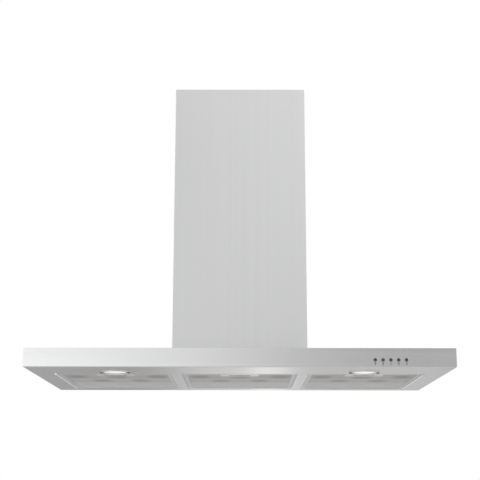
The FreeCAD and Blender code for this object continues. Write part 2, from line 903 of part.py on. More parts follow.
def terminal_block():
    """Screw terminals for the mains lead, hung from the top of the box."""
    body = new_body("terminal_block")
    top = box_top - size.box_wall
    right = -box_left - size.box_wall - size.guide_gap
    far = box_far - size.box_wall - size.guide_gap
    outline = sketch_on(body, "TerminalOutline", "XY_Plane", top)
    add_rectangle(outline, right - size.terminal_width, far - size.terminal_depth, right, far)
    pad(body, outline, size.terminal_height, backwards=True)
    holes = sketch_on(body, "TerminalPorts", "XY_Plane", top - size.terminal_height)
    for index in range(4):
        x = right - size.terminal_width / 2 + size.terminal_pitch * (index - 1.5)
        add_square(holes, x, far - size.terminal_depth / 2, size.terminal_port)
    pocket(body, holes, size.terminal_height / 2, along_normal=True)


# Blower box

def gland_place():
    return (size.blower_width / 2 - size.gland_inset, blower_front + size.gland_inset)


def blower_box():
    """The folded case: open below, with a foot flange, two ears that the lower cover is fixed
    to, slots for the wall hooks and the outlet on top."""
    body = new_body("blower_box")
    sheet = size.blower_sheet
    half = size.blower_width / 2
    outline = sketch_on(body, "BlowerOutline", "XY_Plane", lid_top)
    add_rectangle(outline, -half, blower_front, half, blower_back)
    pad(body, outline, size.blower_height)
    hollow(body, sheet, flat_at(lid_top))
    flange = sketch_on(body, "BlowerFlange", "XY_Plane", lid_top)
    wide = half + size.blower_flange
    inner = half - sheet / 2
    add_loop(flange, [
        (-wide, blower_front - size.blower_flange),
        (wide, blower_front - size.blower_flange),
        (wide, blower_back),
        (inner, blower_back),
        (inner, blower_front + sheet / 2),
        (-inner, blower_front + sheet / 2),
        (-inner, blower_back),
        (-wide, blower_back),
    ])
    pad(body, flange, sheet)
    ear_end = chimney_half - size.chimney_sheet
    near = -size.ear_setback - size.ear_length / 2
    for name, start, height in (("EarFeet", wide - sheet, sheet),
                                ("Ears", ear_end - sheet, size.ear_height)):
        ears = sketch_on(body, name, "XY_Plane", lid_top)
        add_rectangle(ears, start, near, ear_end, near + size.ear_length)
        add_rectangle(ears, -ear_end, near, -start, near + size.ear_length)
        pad(body, ears, height)
    top = sketch_on(body, "TopHoles", "XY_Plane", blower_top + size.overrun)
    outlet_half = size.scroll_width / 2 - size.scroll_wall
    outlet_deep = size.outlet_width / 2
    add_rectangle(top, -outlet_half, outlet_y - outlet_deep,
                  outlet_half, outlet_y + outlet_deep)
    add_circle(top, *gland_place(), size.gland_bore_radius)
    pocket(body, top, sheet * 2 + size.overrun)
    slots = sketch_on(body, "HookSlots", "XZ_Plane", size.blower_wall_gap - size.overrun)
    rest = blower_top - size.hook_drop + size.hook_fit
    wide = size.hook_tongue_width / 2 + size.hook_slot_gap
    deep = size.hook_plate + size.hook_lip + size.hook_slot_gap
    for hand in (-1, 1):
        x = hand * size.hook_offset
        add_rectangle(slots, x - wide, rest - deep, x + wide, rest)
    pocket(body, slots, sheet * 2 + size.overrun, along_normal=True)


# Blower

def scroll_outline(margin):
    """The spiral in the plane across the axle: quarter arcs about the corners of a square,
    each one growth wider than the last, run out into the straight outlet."""
    growth = number(size.scroll_growth)
    y, z = number(axle_y), number(axle_z)
    radius = number(size.scroll_radius) + margin
    back = number(outlet_back) + margin
    near = back - number(size.outlet_width) - margin * 2
    top = number(blower_top - size.blower_sheet)
    centres = [(y - growth / 2, z - growth / 2), (y + growth / 2, z - growth / 2),
               (y + growth / 2, z + growth / 2)]
    start = math.acos((near - centres[0][0]) / radius)
    angles = [(start, math.pi), (math.pi, math.pi * 1.5), (math.pi * 1.5, math.pi * 2)]
    edges = []
    for index, ((cy, cz), (begin, end)) in enumerate(zip(centres, angles)):
        reach = radius + growth * index
        ends = [point(0, cy + reach * math.cos(a), cz + reach * math.sin(a))
                for a in (begin, (begin + end) / 2, end)]
        edges.append(Part.Arc(*ends).toShape())
    first, last = edges[0].Vertexes[0].Point, edges[-1].Vertexes[-1].Point
    corners = [last, point(0, last.y, top), point(0, first.y, top), first]
    edges += [Part.makeLine(a, b) for a, b in zip(corners, corners[1:])]
    return Part.Face(Part.Wire(edges))


def scroll_tub():
    """The moulded scroll with its closed right wall, which carries the motor."""
    wall = number(size.scroll_wall)
    half = number(size.scroll_width) / 2
    outer = scroll_outline(wall).extrude(point(half * 2 - wall, 0, 0))
    inner = scroll_outline(0).extrude(point(half * 2 - wall * 2, 0, 0))
    tub = outer.cut(inner)
    tub.translate(point(wall - half, 0, 0))
    hole = Part.makeCylinder(number(size.shaft_hole_radius), wall * 2,
                             point(half - wall * 1.5, axle_y, axle_z),
                             FreeCAD.Vector(1, 0, 0))
    shape_part("scroll_tub", tub.cut(hole))


def scroll_cover():
    """The flat cover on the open side of the scroll, with the round air inlet."""
    wall = number(size.scroll_wall)
    cover = scroll_outline(wall).extrude(point(wall, 0, 0))
    inlet = Part.makeCylinder(number(size.inlet_radius), wall * 2,
                              point(-wall / 2, axle_y, axle_z), FreeCAD.Vector(1, 0, 0))
    cover = cover.cut(inlet)
    cover.translate(point(-size.scroll_width / 2, 0, 0))
    shape_part("scroll_cover", cover)


def blade_section():
    """One forward-curved blade across the axle: two arcs about one centre."""
    outer = number(size.wheel_radius - size.blade_end_gap)
    inner = outer - number(size.blade_chord_depth)
    curve = number(size.blade_curve_radius)
    thick = number(size.blade_thickness)
    middle = (outer + inner) / 2
    half_chord = (outer - inner) / 2
    sweep = math.asin(half_chord / (curve + thick))
    edges = []
    for radius in (curve, curve + thick):
        ends = [FreeCAD.Vector(0, middle + radius * math.sin(a), curve - radius * math.cos(a))
                for a in (-sweep, 0, sweep)]
        edges.append((Part.Arc(*ends).toShape(), ends))
    near, far = edges[0][1], edges[1][1]
    wire = Part.Wire([edges[0][0], Part.makeLine(near[2], far[2]), edges[1][0],
                      Part.makeLine(far[0], near[0])])
    return Part.Face(wire)


def impeller():
    """The squirrel-cage wheel: forward-curved blades between a disc with its hub on the
    motor's side and an open ring on the inlet's."""
    width = number(size.wheel_width)
    ring = number(size.wheel_ring_thickness)
    disc_width = number(size.wheel_disc)
    outer = number(size.wheel_radius)
    along = FreeCAD.Vector(1, 0, 0)
    axis = FreeCAD.Vector(0, 0, 0)
    blade = blade_section().extrude(FreeCAD.Vector(width - ring - disc_width, 0, 0))
    blade.translate(FreeCAD.Vector(ring - width / 2, 0, 0))
    blades = []
    for index in range(BLADE_COUNT):
        copy = blade.copy()
        copy.rotate(axis, along, 360 * index / BLADE_COUNT)
        blades.append(copy)
    left = FreeCAD.Vector(-width / 2, 0, 0)
    inner = outer - number(size.blade_chord_depth + size.blade_end_gap * 2)
    hoop = Part.makeCylinder(outer, ring, left, along)
    hoop = hoop.cut(Part.makeCylinder(inner, ring, left, along))
    disc = Part.makeCylinder(outer, disc_width, FreeCAD.Vector(width / 2 - disc_width, 0, 0),
                             along)
    hub_length = number(size.hub_length)
    hub = Part.makeCylinder(number(size.hub_radius), hub_length,
                            FreeCAD.Vector(width / 2 - hub_length, 0, 0), along)
    bore = Part.makeCylinder(number(size.shaft_radius + size.shaft_fit), width, left, along)
    wheel = disc.fuse([hoop, hub] + blades).cut(bore).removeSplitter()
    wheel.translate(point(0, axle_y, axle_z))
    shape_part("impeller", wheel)


# Where the wheel's hub ends on the left, and where the motor stands on the scroll's wall.
hub_left = size.wheel_width / 2 - size.hub_length
motor_near = size.scroll_width / 2


def motor_shaft():
    left = hub_left - size.shaft_end
    right = motor_near + size.motor_bore
    shaft = rod("ShaftRod", size.shaft_radius, right - left, left, axle_y, axle_z, (1, 0, 0))
    keep(shaft, "motor_shaft")


def motor():
    """The motor can on the scroll's wall, with the running bore for the shaft."""
    body = new_body("motor")
    profile = sketch_on(body, "MotorProfile", "XY_Plane")
    far = motor_near + size.motor_length
    bore_end = motor_near + size.motor_bore
    bore = size.shaft_radius + size.shaft_fit
    add_loop(profile, [
        (motor_near, bore),
        (motor_near, size.motor_radius),
        (far, size.motor_radius),
        (far, 0),
        (bore_end, 0),
        (bore_end, bore),
    ])
    turn(body, profile, "H_Axis")
    place(body, 0, axle_y, axle_z)


# Outlet collar and flaps

flap_z = blower_top + size.flap_level


def outlet_collar():
    """The duct spigot on its flange. Its bore steps in below the flaps, which close on the
    step, and each end of their axes has a rest with two open slots."""
    body = new_body("outlet_collar")
    inner = size.collar_radius - size.collar_wall
    throat = inner - size.ledge_width
    flange = sketch_on(body, "CollarFlange", "XY_Plane", blower_top)
    half = size.collar_flange_half_width
    deep = size.collar_flange_half_depth
    add_rectangle(flange, -half, outlet_y - deep, half, outlet_y + deep)
    pad(body, flange, size.collar_flange)
    tube = sketch_on(body, "CollarTube", "XY_Plane", blower_top)
    add_circle(tube, 0, outlet_y, size.collar_radius)
    pad(body, tube, size.collar_height)
    ledge_top = flap_z - size.flap_thickness / 2 - size.ledge_gap
    bore = sketch_on(body, "CollarBore", "XY_Plane", ledge_top)
    add_circle(bore, 0, outlet_y, inner)
    pocket(body, bore, size.collar_height, along_normal=True)
    mouth = sketch_on(body, "CollarThroat", "XY_Plane", blower_top - size.overrun)
    add_circle(mouth, 0, outlet_y, throat)
    pocket(body, mouth, size.collar_height, along_normal=True)
    rest_top = flap_z + size.pin_rest_rise
    rests = sketch_on(body, "PinRests", "XY_Plane", ledge_top)
    rest_end = inner - size.pin_rest_depth
    rest_half = size.flap_pivot + size.pin_rest_margin
    for left, right in ((-inner, -rest_end), (rest_end, inner)):
        add_rectangle(rests, left, outlet_y - rest_half, right, outlet_y + rest_half)
    pad(body, rests, rest_top - ledge_top)
    slots = sketch_on(body, "PinSlots", "XY_Plane", rest_top + size.overrun)
    slot_half = size.flap_barrel_radius + size.pin_gap
    slot_end = inner - size.pin_gap * 2
    for left, right in ((-slot_end, size.overrun - rest_end),
                        (rest_end - size.overrun, slot_end)):
        for hand in (-1, 1):
            y = outlet_y + hand * size.flap_pivot
            add_rectangle(slots, left, y - slot_half, right, y + slot_half)
    pocket(body, slots, size.overrun + size.pin_rest_rise + slot_half)


def flap(name, hand):
    """Half of the non-return valve: a half disc with a barrel whose ends are its pins."""
    inner = number(size.collar_radius - size.collar_wall)
    gap = number(size.flap_gap)
    radius = inner - gap
    thick = number(size.flap_thickness)
    pivot = number(size.flap_pivot)
    disc = Part.makeCylinder(radius, thick, FreeCAD.Vector(0, 0, -thick / 2))
    half_side = Part.makeBox(
        radius * 2, radius, thick * 2,
        FreeCAD.Vector(-radius, pivot if hand > 0 else -pivot - radius, -thick))
    leaf = disc.common(half_side)
    rest_end = inner - number(size.pin_rest_depth) - gap
    corner = pivot + number(size.flap_corner)
    for side in (-1, 1):
        leaf = leaf.cut(Part.makeBox(
            radius, corner, thick * 2,
            FreeCAD.Vector(rest_end if side > 0 else -rest_end - radius,
                           0 if hand > 0 else -corner, -thick)))
    reach = inner - gap
    barrel = Part.makeCylinder(number(size.flap_barrel_radius), reach * 2,
                               FreeCAD.Vector(-reach, hand * pivot, 0),
                               FreeCAD.Vector(1, 0, 0))
    leaf = leaf.fuse(barrel).removeSplitter()
    leaf.translate(point(0, outlet_y, flap_z))
    shape_part(name, leaf)


def cable_gland():
    """The mains inlet, a hexagonal gland in the corner of the blower box's top."""
    x, y = gland_place()
    nut = DOC.addObject("Part::Prism", "GlandNut")
    nut.Polygon = 6
    bind(nut, Circumradius=size.gland_nut_radius, Height=size.gland_nut_height)
    place(nut, x, y, blower_top)
    bore = rod("GlandBore", size.gland_bore_radius, size.gland_nut_height + size.overrun * 2,
               x, y, blower_top - size.overrun)
    keep(cut("Gland", nut, bore), "cable_gland")


# Wall hooks

def wall_hooks():
    """Two plates screwed to the wall, each with a bent tongue that a slot hangs on."""
    x = size.hook_offset
    level = blower_top - size.hook_drop
    plate = size.hook_plate
    half = size.hook_plate_width / 2
    base = block("HookBase", x - half, -plate, level - size.hook_plate_height / 2,
                 x + half, 0, level + size.hook_plate_height / 2)
    tongue_end = size.blower_wall_gap + size.blower_sheet + size.hook_slot_gap + plate
    half = size.hook_tongue_width / 2
    tongue = block("HookTongue", x - half, -tongue_end, level - plate, x + half, -plate, level)
    lip = block("HookLip", x - half, -tongue_end, level, x + half, plate - tongue_end,
                level + size.hook_lip)
    hole = rod("HookHole", size.hook_hole_radius, plate + size.overrun * 2, x,
               -plate - size.overrun, level + size.hook_hole_rise, (0, 1, 0))
    pair("wall_hooks", cut("Hook", join("HookBody", base, tongue, lip), hole))


# Chimney

def upright_at(level):
    """A test for an upright edge at a distance from the wall."""

    def test(edge):
        box = edge.BoundBox
        tolerance = number(size.chimney_sheet) / 100
        return box.ZLength > box.XLength + box.YLength and abs(box.YMin - number(level)) < tolerance

    return test


def cover_profile(sketch, half, depth, back):
    """A cover in plan: three walls and two flanges turned in at the open back."""
    sheet = size.chimney_sheet
    flange = size.chimney_back_flange
    add_loop(sketch, [
        (-half + flange, back),
        (-half, back),
        (-half, -depth),
        (half, -depth),
        (half, back),
        (half - flange, back),
        (half - flange, back - sheet),
        (half - sheet, back - sheet),
        (half - sheet, -depth + sheet),
        (-half + sheet, -depth + sheet),
        (-half + sheet, back - sheet),
        (-half + flange, back - sheet),
    ])


def lower_chimney():
    body = new_body("lower_chimney")
    plan = sketch_on(body, "LowerCover", "XY_Plane", size.canopy_height)
    cover_profile(plan, chimney_half, size.chimney_depth, 0)
    pad(body, plan, size.chimney_height)
    round_edges(body, size.chimney_bend, upright_at(-size.chimney_depth))
    inside = size.chimney_bend - size.chimney_sheet
    round_edges(body, inside, upright_at(-size.chimney_depth + size.chimney_sheet))


def upper_inset():
    return size.chimney_sheet + size.cover_gap


def upper_chimney():
    """The inner cover, pushed down level with the outer one, with vent slots at its top."""
    body = new_body("upper_chimney")
    inset = upper_inset()
    half = chimney_half - inset
    low = chimney_top - size.upper_height
    plan = sketch_on(body, "UpperCover", "XY_Plane", low)
    cover_profile(plan, half, size.chimney_depth - inset, -inset)
    pad(body, plan, size.upper_height)
    vents = sketch_on(body, "SideVents", "YZ_Plane", -half - size.overrun)
    middle = -size.chimney_depth / 2
    for index in range(VENT_COUNT):
        top = chimney_top - size.vent_top - size.vent_pitch * index
        add_rectangle(vents, middle - size.vent_length / 2, top - size.vent_height,
                      middle + size.vent_length / 2, top)
    pocket(body, vents, size.chimney_width + size.overrun * 2, along_normal=True)


def bracket_level():
    return chimney_top - size.bracket_drop - size.bracket_height


def chimney_bracket():
    """The strip screwed to the wall behind the upper cover, with an ear at each end."""
    body = new_body("chimney_bracket")
    sheet = size.chimney_sheet
    strip = size.bracket_strip
    half = chimney_half - upper_inset() - sheet
    back = -upper_inset() - sheet
    plan = sketch_on(body, "BracketPlan", "XY_Plane", bracket_level())
    add_loop(plan, [
        (-half, back),
        (-half, -size.bracket_ear),
        (-half + strip, -size.bracket_ear),
        (-half + strip, back - strip),
        (half - strip, back - strip),
        (half - strip, -size.bracket_ear),
        (half, -size.bracket_ear),
        (half, back),
    ])
    pad(body, plan, size.bracket_height)
    slots = sketch_on(body, "BracketSlots", "XZ_Plane")
    level = bracket_level() + size.bracket_height / 2
    run = size.bracket_slot_length / 2 - size.bracket_slot_radius
    for hand in (-1, 1):
        x = hand * size.bracket_slot_spacing / 2
        add_rectangle(slots, x - run, level - size.bracket_slot_radius,
                      x + run, level + size.bracket_slot_radius)
    pocket(body, slots, -back + strip * 2, along_normal=True)
    ends = sketch_on(body, "BracketSlotEnds", "XZ_Plane")
    for hand in (-1, 1):
        for end in (-1, 1):
            x = hand * size.bracket_slot_spacing / 2 + end * run
            add_circle(ends, x, level, size.bracket_slot_radius)
    pocket(body, ends, -back + strip * 2, along_normal=True)


def build():
    canopy_shell()
    canopy_lid()
    for side in FILTER_SIDES:
        filter_frame(side)
        filter_mesh(side)
        filter_core(side)
        latch_housing(side)
        latch_slider(side)
        latch_spring(side)
    lamp_housings()
    lamp_lenses()
    for index, name in enumerate(BUTTON_NAMES):
        push_button(index, name)
    button_guide()
    switch_block()
    electrical_box()
    electrical_cover()
    control_board()
    capacitor()
    terminal_block()
    blower_box()
    scroll_tub()
    scroll_cover()
    impeller()
    motor_shaft()
    motor()
    outlet_collar()
    flap("flap_front", -1)
    flap("flap_rear", 1)
    cable_gland()
    wall_hooks()
    lower_chimney()
    upper_chimney()
    chimney_bracket()


def export():
    """Check every object of the document, then write each sub-part to its own file."""
    DOC.recompute()
    for thing in DOC.Objects:
        if "Invalid" in thing.State or "Error" in thing.State:
            raise RuntimeError(f"{thing.Label} failed: {thing.State}")
    broken = [thing.Label for thing in PARTS
              if thing.Shape.isNull() or not thing.Shape.isValid()]
    if broken:
        raise RuntimeError(f"no valid shape: {broken}")
    os.makedirs("parts", exist_ok=True)
    for thing in PARTS:
        thing.Shape.exportStep(os.path.join("parts", thing.Label + ".step"))


build()
export()
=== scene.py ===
import math

import bmesh
import bpy
from mathutils import Matrix, Vector


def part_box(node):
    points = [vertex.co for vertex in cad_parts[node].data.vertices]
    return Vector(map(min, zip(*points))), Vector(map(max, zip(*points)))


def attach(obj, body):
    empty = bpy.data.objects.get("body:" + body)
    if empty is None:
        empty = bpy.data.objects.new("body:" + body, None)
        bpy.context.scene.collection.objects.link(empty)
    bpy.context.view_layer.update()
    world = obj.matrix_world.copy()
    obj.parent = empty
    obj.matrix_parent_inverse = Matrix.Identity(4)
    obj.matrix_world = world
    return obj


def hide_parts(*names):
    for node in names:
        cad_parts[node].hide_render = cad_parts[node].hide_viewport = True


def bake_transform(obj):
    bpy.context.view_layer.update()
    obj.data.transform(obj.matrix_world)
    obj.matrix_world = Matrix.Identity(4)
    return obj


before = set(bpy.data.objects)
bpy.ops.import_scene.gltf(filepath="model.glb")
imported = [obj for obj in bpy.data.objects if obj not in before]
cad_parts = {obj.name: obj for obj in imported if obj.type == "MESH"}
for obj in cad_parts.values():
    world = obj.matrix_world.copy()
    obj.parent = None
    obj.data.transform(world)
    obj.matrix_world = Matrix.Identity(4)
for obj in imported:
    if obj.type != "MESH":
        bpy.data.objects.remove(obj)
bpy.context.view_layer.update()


# Canopy: one shallow pan folded from a sheet of brushed stainless steel, with three windows cut
# in its underside. The grain runs along the sheet, so it lies level on the front and on the
# underside and stands upright on the two folded sides.
def node(tree, kind, sockets=None, **settings):
    """One node; a socket gets either a plain value or the output that feeds it."""
    made = tree.nodes.new(kind)
    for name, value in settings.items():
        setattr(made, name, value)
    for name, value in (sockets or {}).items():
        if isinstance(value, bpy.types.NodeSocket):
            tree.links.new(value, made.inputs[name])
        else:
            made.inputs[name].default_value = value
    return made


def math_node(tree, operation, first, second=0.0):
    """Two numbers worked into one."""
    return node(tree, "ShaderNodeMath", {0: first, 1: second}, operation=operation).outputs[0]


def spread(tree, value, low, high, start=0.0, end=1.0):
    """A value between start and end laid out between low and high."""
    laid = node(tree, "ShaderNodeMapRange",
                {"Value": value, "From Min": start, "From Max": end, "To Min": low, "To Max": high})
    return laid.outputs["Result"]


def tone(tree, value, *stops):
    """A colour read from a value; each stop is its place and its grey or colour."""
    ramp = node(tree, "ShaderNodeValToRGB", {"Fac": value})
    marks = ramp.color_ramp.elements
    while len(marks) < len(stops):
        marks.new(1.0)
    for mark, (place, colour) in zip(marks, stops):
        shade = (colour,) * 3 if isinstance(colour, float) else colour
        mark.position = place
        mark.color = (*shade, 1.0)
    return ramp.outputs["Color"]


def relief(tree, height, depth):
    """The normal of a surface raised by height, at most depth metres."""
    return node(tree, "ShaderNodeBump", {"Height": height, "Distance": depth}).outputs["Normal"]


def new_finish(name, **plain):
    """A finish, its node tree and its shader, with the shader's plain values set."""
    made = bpy.data.materials.new(name)
    made.use_nodes = True
    tree = made.node_tree
    shader = tree.nodes["Principled BSDF"]
    for socket, value in plain.items():
        shader.inputs[socket.replace("_", " ")].default_value = value
    return made, tree, shader


def feed(tree, shader, **outputs):
    """Links outputs to the shader's sockets of the same names."""
    for socket, output in outputs.items():
        tree.links.new(output, shader.inputs[socket.replace("_", " ")])


def dress(finish, *names):
    """Gives these nodes of the frame that finish all over."""
    for name in names:
        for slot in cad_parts[name].material_slots:
            slot.material = finish


def new_group(name, inputs, outputs):
    """An empty shader group with these number inputs and outputs."""
    group = bpy.data.node_groups.new(name, "ShaderNodeTree")
    for socket, value in inputs.items():
        kind = "NodeSocketVector" if isinstance(value, tuple) else "NodeSocketFloat"
        made = group.interface.new_socket(socket, in_out="INPUT", socket_type=kind)
        made.default_value = value
    for socket in outputs:
        group.interface.new_socket(socket, in_out="OUTPUT", socket_type="NodeSocketFloat")
    return group, group.nodes.new("NodeGroupInput"), group.nodes.new("NodeGroupOutput")


def use(tree, group, **values):
    """A group set in a finish with its own values; returns its outputs."""
    made = tree.nodes.new("ShaderNodeGroup")
    made.node_tree = group
    for name, value in values.items():
        socket = made.inputs[name.replace("_", " ")]
        if isinstance(value, bpy.types.NodeSocket):
            tree.links.new(value, socket)
        else:
            socket.default_value = value
    return made.outputs


# Brushed lines: noise drawn out along the way that the belt ran, fine lines and slower streaks.
hairline, given, out = new_group("hairline", {"Lines": (4.0, 1800.0, 1800.0)}, ["Line", "Streak"])
where = node(hairline, "ShaderNodeTexCoord").outputs["Object"]
drawn = node(hairline, "ShaderNodeVectorMath", {0: where, 1: given.outputs["Lines"]},
             operation="MULTIPLY").outputs[0]
slow = node(hairline, "ShaderNodeVectorMath", {0: drawn, 1: (0.3, 0.06, 0.06)},
            operation="MULTIPLY").outputs[0]
line = node(hairline, "ShaderNodeTexNoise", {"Vector": drawn, "Scale": 1.0, "Detail": 2.0})
streak = node(hairline, "ShaderNodeTexNoise", {"Vector": slow, "Scale": 1.0, "Detail": 3.0})
hairline.links.new(line.outputs["Fac"], out.inputs["Line"])
hairline.links.new(streak.outputs["Fac"], out.inputs["Streak"])

# Handling: faint cloudy patches where hands and cloths have been.
handling, given, out = new_group("handling", {"Patch": 9.0}, ["Cloud"])
where = node(handling, "ShaderNodeTexCoord").outputs["Object"]
cloud = node(handling, "ShaderNodeTexNoise",
             {"Vector": where, "Scale": given.outputs["Patch"], "Detail": 4.0, "Roughness": 0.6})
handling.links.new(cloud.outputs["Fac"], out.inputs["Cloud"])

canopy_steel, tree, shader = new_finish("canopy steel", Metallic=1.0)
level = use(tree, hairline, Lines=(4.0, 1800.0, 1800.0))
upright = use(tree, hairline, Lines=(1800.0, 1800.0, 4.0))
facing = node(tree, "ShaderNodeSeparateXYZ",
              {0: node(tree, "ShaderNodeNewGeometry").outputs["True Normal"]})
sideways = math_node(tree, "GREATER_THAN", math_node(tree, "ABSOLUTE", facing.outputs["X"]), 0.7)
grain, streak = [node(tree, "ShaderNodeMix",
                      {0: sideways, 2: level[kind], 3: upright[kind]}).outputs[0]
                 for kind in ("Line", "Streak")]
hands = use(tree, handling, Patch=6.0)["Cloud"]
both = math_node(tree, "ADD", math_node(tree, "MULTIPLY", grain, 0.5),
                 math_node(tree, "MULTIPLY", streak, 0.5))
feed(tree, shader,
     Base_Color=tone(tree, both, (0.3, (0.62, 0.625, 0.63)), (0.7, (0.70, 0.70, 0.695))),
     Roughness=math_node(tree, "ADD", spread(tree, both, 0.19, 0.27),
                         spread(tree, hands, -0.02, 0.03)),
     Normal=relief(tree, grain, 0.000005))
dress(canopy_steel, "canopy_shell")


# Window edges: the die leaves a low rounded lip round each window, and the outer edges of the two
# end windows carry a low bead coloured lighter than the sheet, a painted highlight, so each shows
# as a thin bright line. They are part of the same sheet.
def link_mesh(name, mesh, finish, body):
    """A piece of the scene from its mesh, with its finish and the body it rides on."""
    piece = bpy.data.objects.new(name, mesh)
    bpy.context.scene.collection.objects.link(piece)
    if not mesh.materials:
        mesh.materials.append(finish)
    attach(piece, body)
    return piece


def mesh_of(name, points, faces, smooth_angle=None):
    """A mesh from points in metres; with an angle in degrees, flatter edges are smoothed."""
    mesh = bpy.data.meshes.new(name)
    mesh.from_pydata([tuple(p) for p in points], [], faces)
    if smooth_angle is not None:
        mesh.polygons.foreach_set("use_smooth", [True] * len(mesh.polygons))
        mesh.set_sharp_from_angle(angle=math.radians(smooth_angle))
    mesh.update()
    return mesh


def bead(start, end, across, out_of, half_width, rise, steps=8):
    """A low rounded strip from start to end, with ends of its own."""
    points, faces = [], []
    ring = [(math.cos(math.pi * k / steps), math.sin(math.pi * k / steps))
            for k in range(steps + 1)]
    for at in (start, end):
        for u, v in ring:
            points.append(Vector(at) + Vector(across) * (u * half_width)
                          + Vector(out_of) * (v * rise))
    count = steps + 1
    for k in range(steps):
        faces.append((k, k + 1, count + k + 1, count + k))
    faces += [tuple(range(count)), tuple(reversed(range(count, count * 2))),
              (0, count, 2 * count - 1, count - 1)]
    return points, faces


def lip_mesh(name, half_width, front, back, profile):
    """A closed lip round a window at x = 0; a profile point is how far it lies out and down."""
    points, faces = [], []
    for out, down in profile:
        points += [(-half_width - out, front - out, -down), (half_width + out, front - out, -down),
                   (half_width + out, back + out, -down), (-half_width - out, back + out, -down)]
    for k in range(len(profile)):
        first, second = 4 * k, 4 * ((k + 1) % len(profile))
        for i in range(4):
            after = (i + 1) % 4
            faces.append((first + i, first + after, second + after, second + i))
    return mesh_of(name, points, faces, 50)


edge_highlight_steel, tree, shader = new_finish("sheet edge highlight", Metallic=1.0)
rub = use(tree, hairline, Lines=(900.0, 6.0, 900.0))["Line"]
# painted highlight: the bead's colour is lighter than the sheet's so that it shows as a bright line
feed(tree, shader,
     Base_Color=tone(tree, rub, (0.3, 0.80), (0.7, 0.90)),
     Roughness=spread(tree, rub, 0.16, 0.3))
canopy_low, canopy_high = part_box("canopy_shell")
frame_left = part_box("filter_frame_left")[0]
side_gap = 0.001
window_side = abs(frame_left.x) + side_gap
window_front, window_back = -0.365, -0.051
window_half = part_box("filter_frame_middle")[1].x + side_gap
lip_profile = [(-0.0006, -0.003), (-0.0006, 0.0003), (-0.0004, 0.00045), (0.0, 0.0005),
               (0.0008, 0.0003), (0.0018, -0.0001)]
bead_out, bead_half_width, bead_rise = 0.0016, 0.0024, 0.0018
lip = lip_mesh("window lip", window_half, window_front, window_back, lip_profile)
for name in ("left", "middle", "right"):
    low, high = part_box("filter_frame_" + name)
    edge = link_mesh("window_lip_" + name, lip, canopy_steel, "hood")
    edge.location.x = (low.x + high.x) / 2
for name, side in (("left", -1), ("right", 1)):
    x = side * (window_side + bead_out)
    points, faces = bead((x, window_front, 0.0), (x, window_back, 0.0),
                         (1, 0, 0), (0, 0, -1), bead_half_width, bead_rise)
    edge = mesh_of("window edge " + name, points, faces, 50)
    link_mesh("window_edge_" + name, edge, edge_highlight_steel, "hood")


# Lid: a flat stainless plate let in under the top return of the pan and spot-welded to it, so a
# row of small round dimples with a tint of heat runs along each edge.
lid_steel, tree, shader = new_finish("welded lid steel", Metallic=1.0)
lid_low, lid_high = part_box("canopy_lid")
weld_pitch, weld_inset, weld_radius = 0.075, 0.006, 0.0026
where = node(tree, "ShaderNodeTexCoord").outputs["Object"]
place = node(tree, "ShaderNodeSeparateXYZ", {0: where}).outputs


def along_edge(tree, along, across, middle, half):
    """The distance to the nearest weld of the two edges that lie half away from middle."""
    step = math_node(tree, "SUBTRACT",
                     math_node(tree, "FLOORED_MODULO", along, weld_pitch), weld_pitch / 2)
    off = math_node(tree, "SUBTRACT",
                    math_node(tree, "ABSOLUTE", math_node(tree, "SUBTRACT", across, middle)), half)
    squares = math_node(tree, "ADD", math_node(tree, "MULTIPLY", step, step),
                        math_node(tree, "MULTIPLY", off, off))
    return math_node(tree, "SQRT", squares)


lid_middle = (lid_low + lid_high) / 2
lid_half = (lid_high - lid_low) / 2
nearest = math_node(tree, "MINIMUM",
                    along_edge(tree, place["X"], place["Y"], lid_middle.y, lid_half.y - weld_inset),
                    along_edge(tree, place["Y"], place["X"], lid_middle.x, lid_half.x - weld_inset))
weld = spread(tree, nearest, 1.0, 0.0, weld_radius * 0.6, weld_radius)
grain = use(tree, hairline, Lines=(4.0, 1800.0, 1800.0))
shade = tone(tree, grain["Streak"], (0.3, (0.63, 0.635, 0.64)), (0.7, (0.68, 0.68, 0.675)))
tinted = node(tree, "ShaderNodeMix", {0: weld, 6: shade, 7: (0.44, 0.38, 0.30, 1.0)},
              data_type="RGBA").outputs[2]
height = math_node(tree, "SUBTRACT", math_node(tree, "MULTIPLY", grain["Line"], 0.05), weld)
feed(tree, shader, Base_Color=tinted,
     Roughness=spread(tree, grain["Line"], 0.26, 0.34),
     Normal=relief(tree, height, 0.0002))
dress(lid_steel, "canopy_lid")


# Filter frames: rolled aluminium channel, mitred round the cassette, with two tabs at the back
# that hook over the rear strip. The rolls leave faint lines along the channel, and the rear rail
# is coloured brighter, a painted highlight that lightens the shaded gap at the back of the window.
channel_aluminium, tree, shader = new_finish("rolled aluminium channel", Metallic=1.0)
rolled = use(tree, hairline, Lines=(30.0, 500.0, 500.0))
hands = use(tree, handling, Patch=25.0)["Cloud"]
where = node(tree, "ShaderNodeTexCoord").outputs["Object"]
rearward = node(tree, "ShaderNodeSeparateXYZ", {0: where}).outputs["Y"]
# painted highlight: the colour lightens towards the rear rail, against the shade in the gap behind
# it
grain_and_rear_highlight = math_node(tree, "ADD", rolled["Line"], spread(tree, rearward, 0.0, 0.5, -0.09, -0.064))
feed(tree, shader,
     Base_Color=tone(tree, grain_and_rear_highlight, (0.3, (0.55, 0.545, 0.54)), (0.7, (0.63, 0.625, 0.62)),
                     (1.0, (0.80, 0.80, 0.79))),
     Roughness=math_node(tree, "ADD", spread(tree, rolled["Streak"], 0.44, 0.52),
                         spread(tree, hands, -0.03, 0.04)),
     Normal=relief(tree, rolled["Line"], 0.00002))
dress(channel_aluminium, "filter_frame_left", "filter_frame_middle", "filter_frame_right")

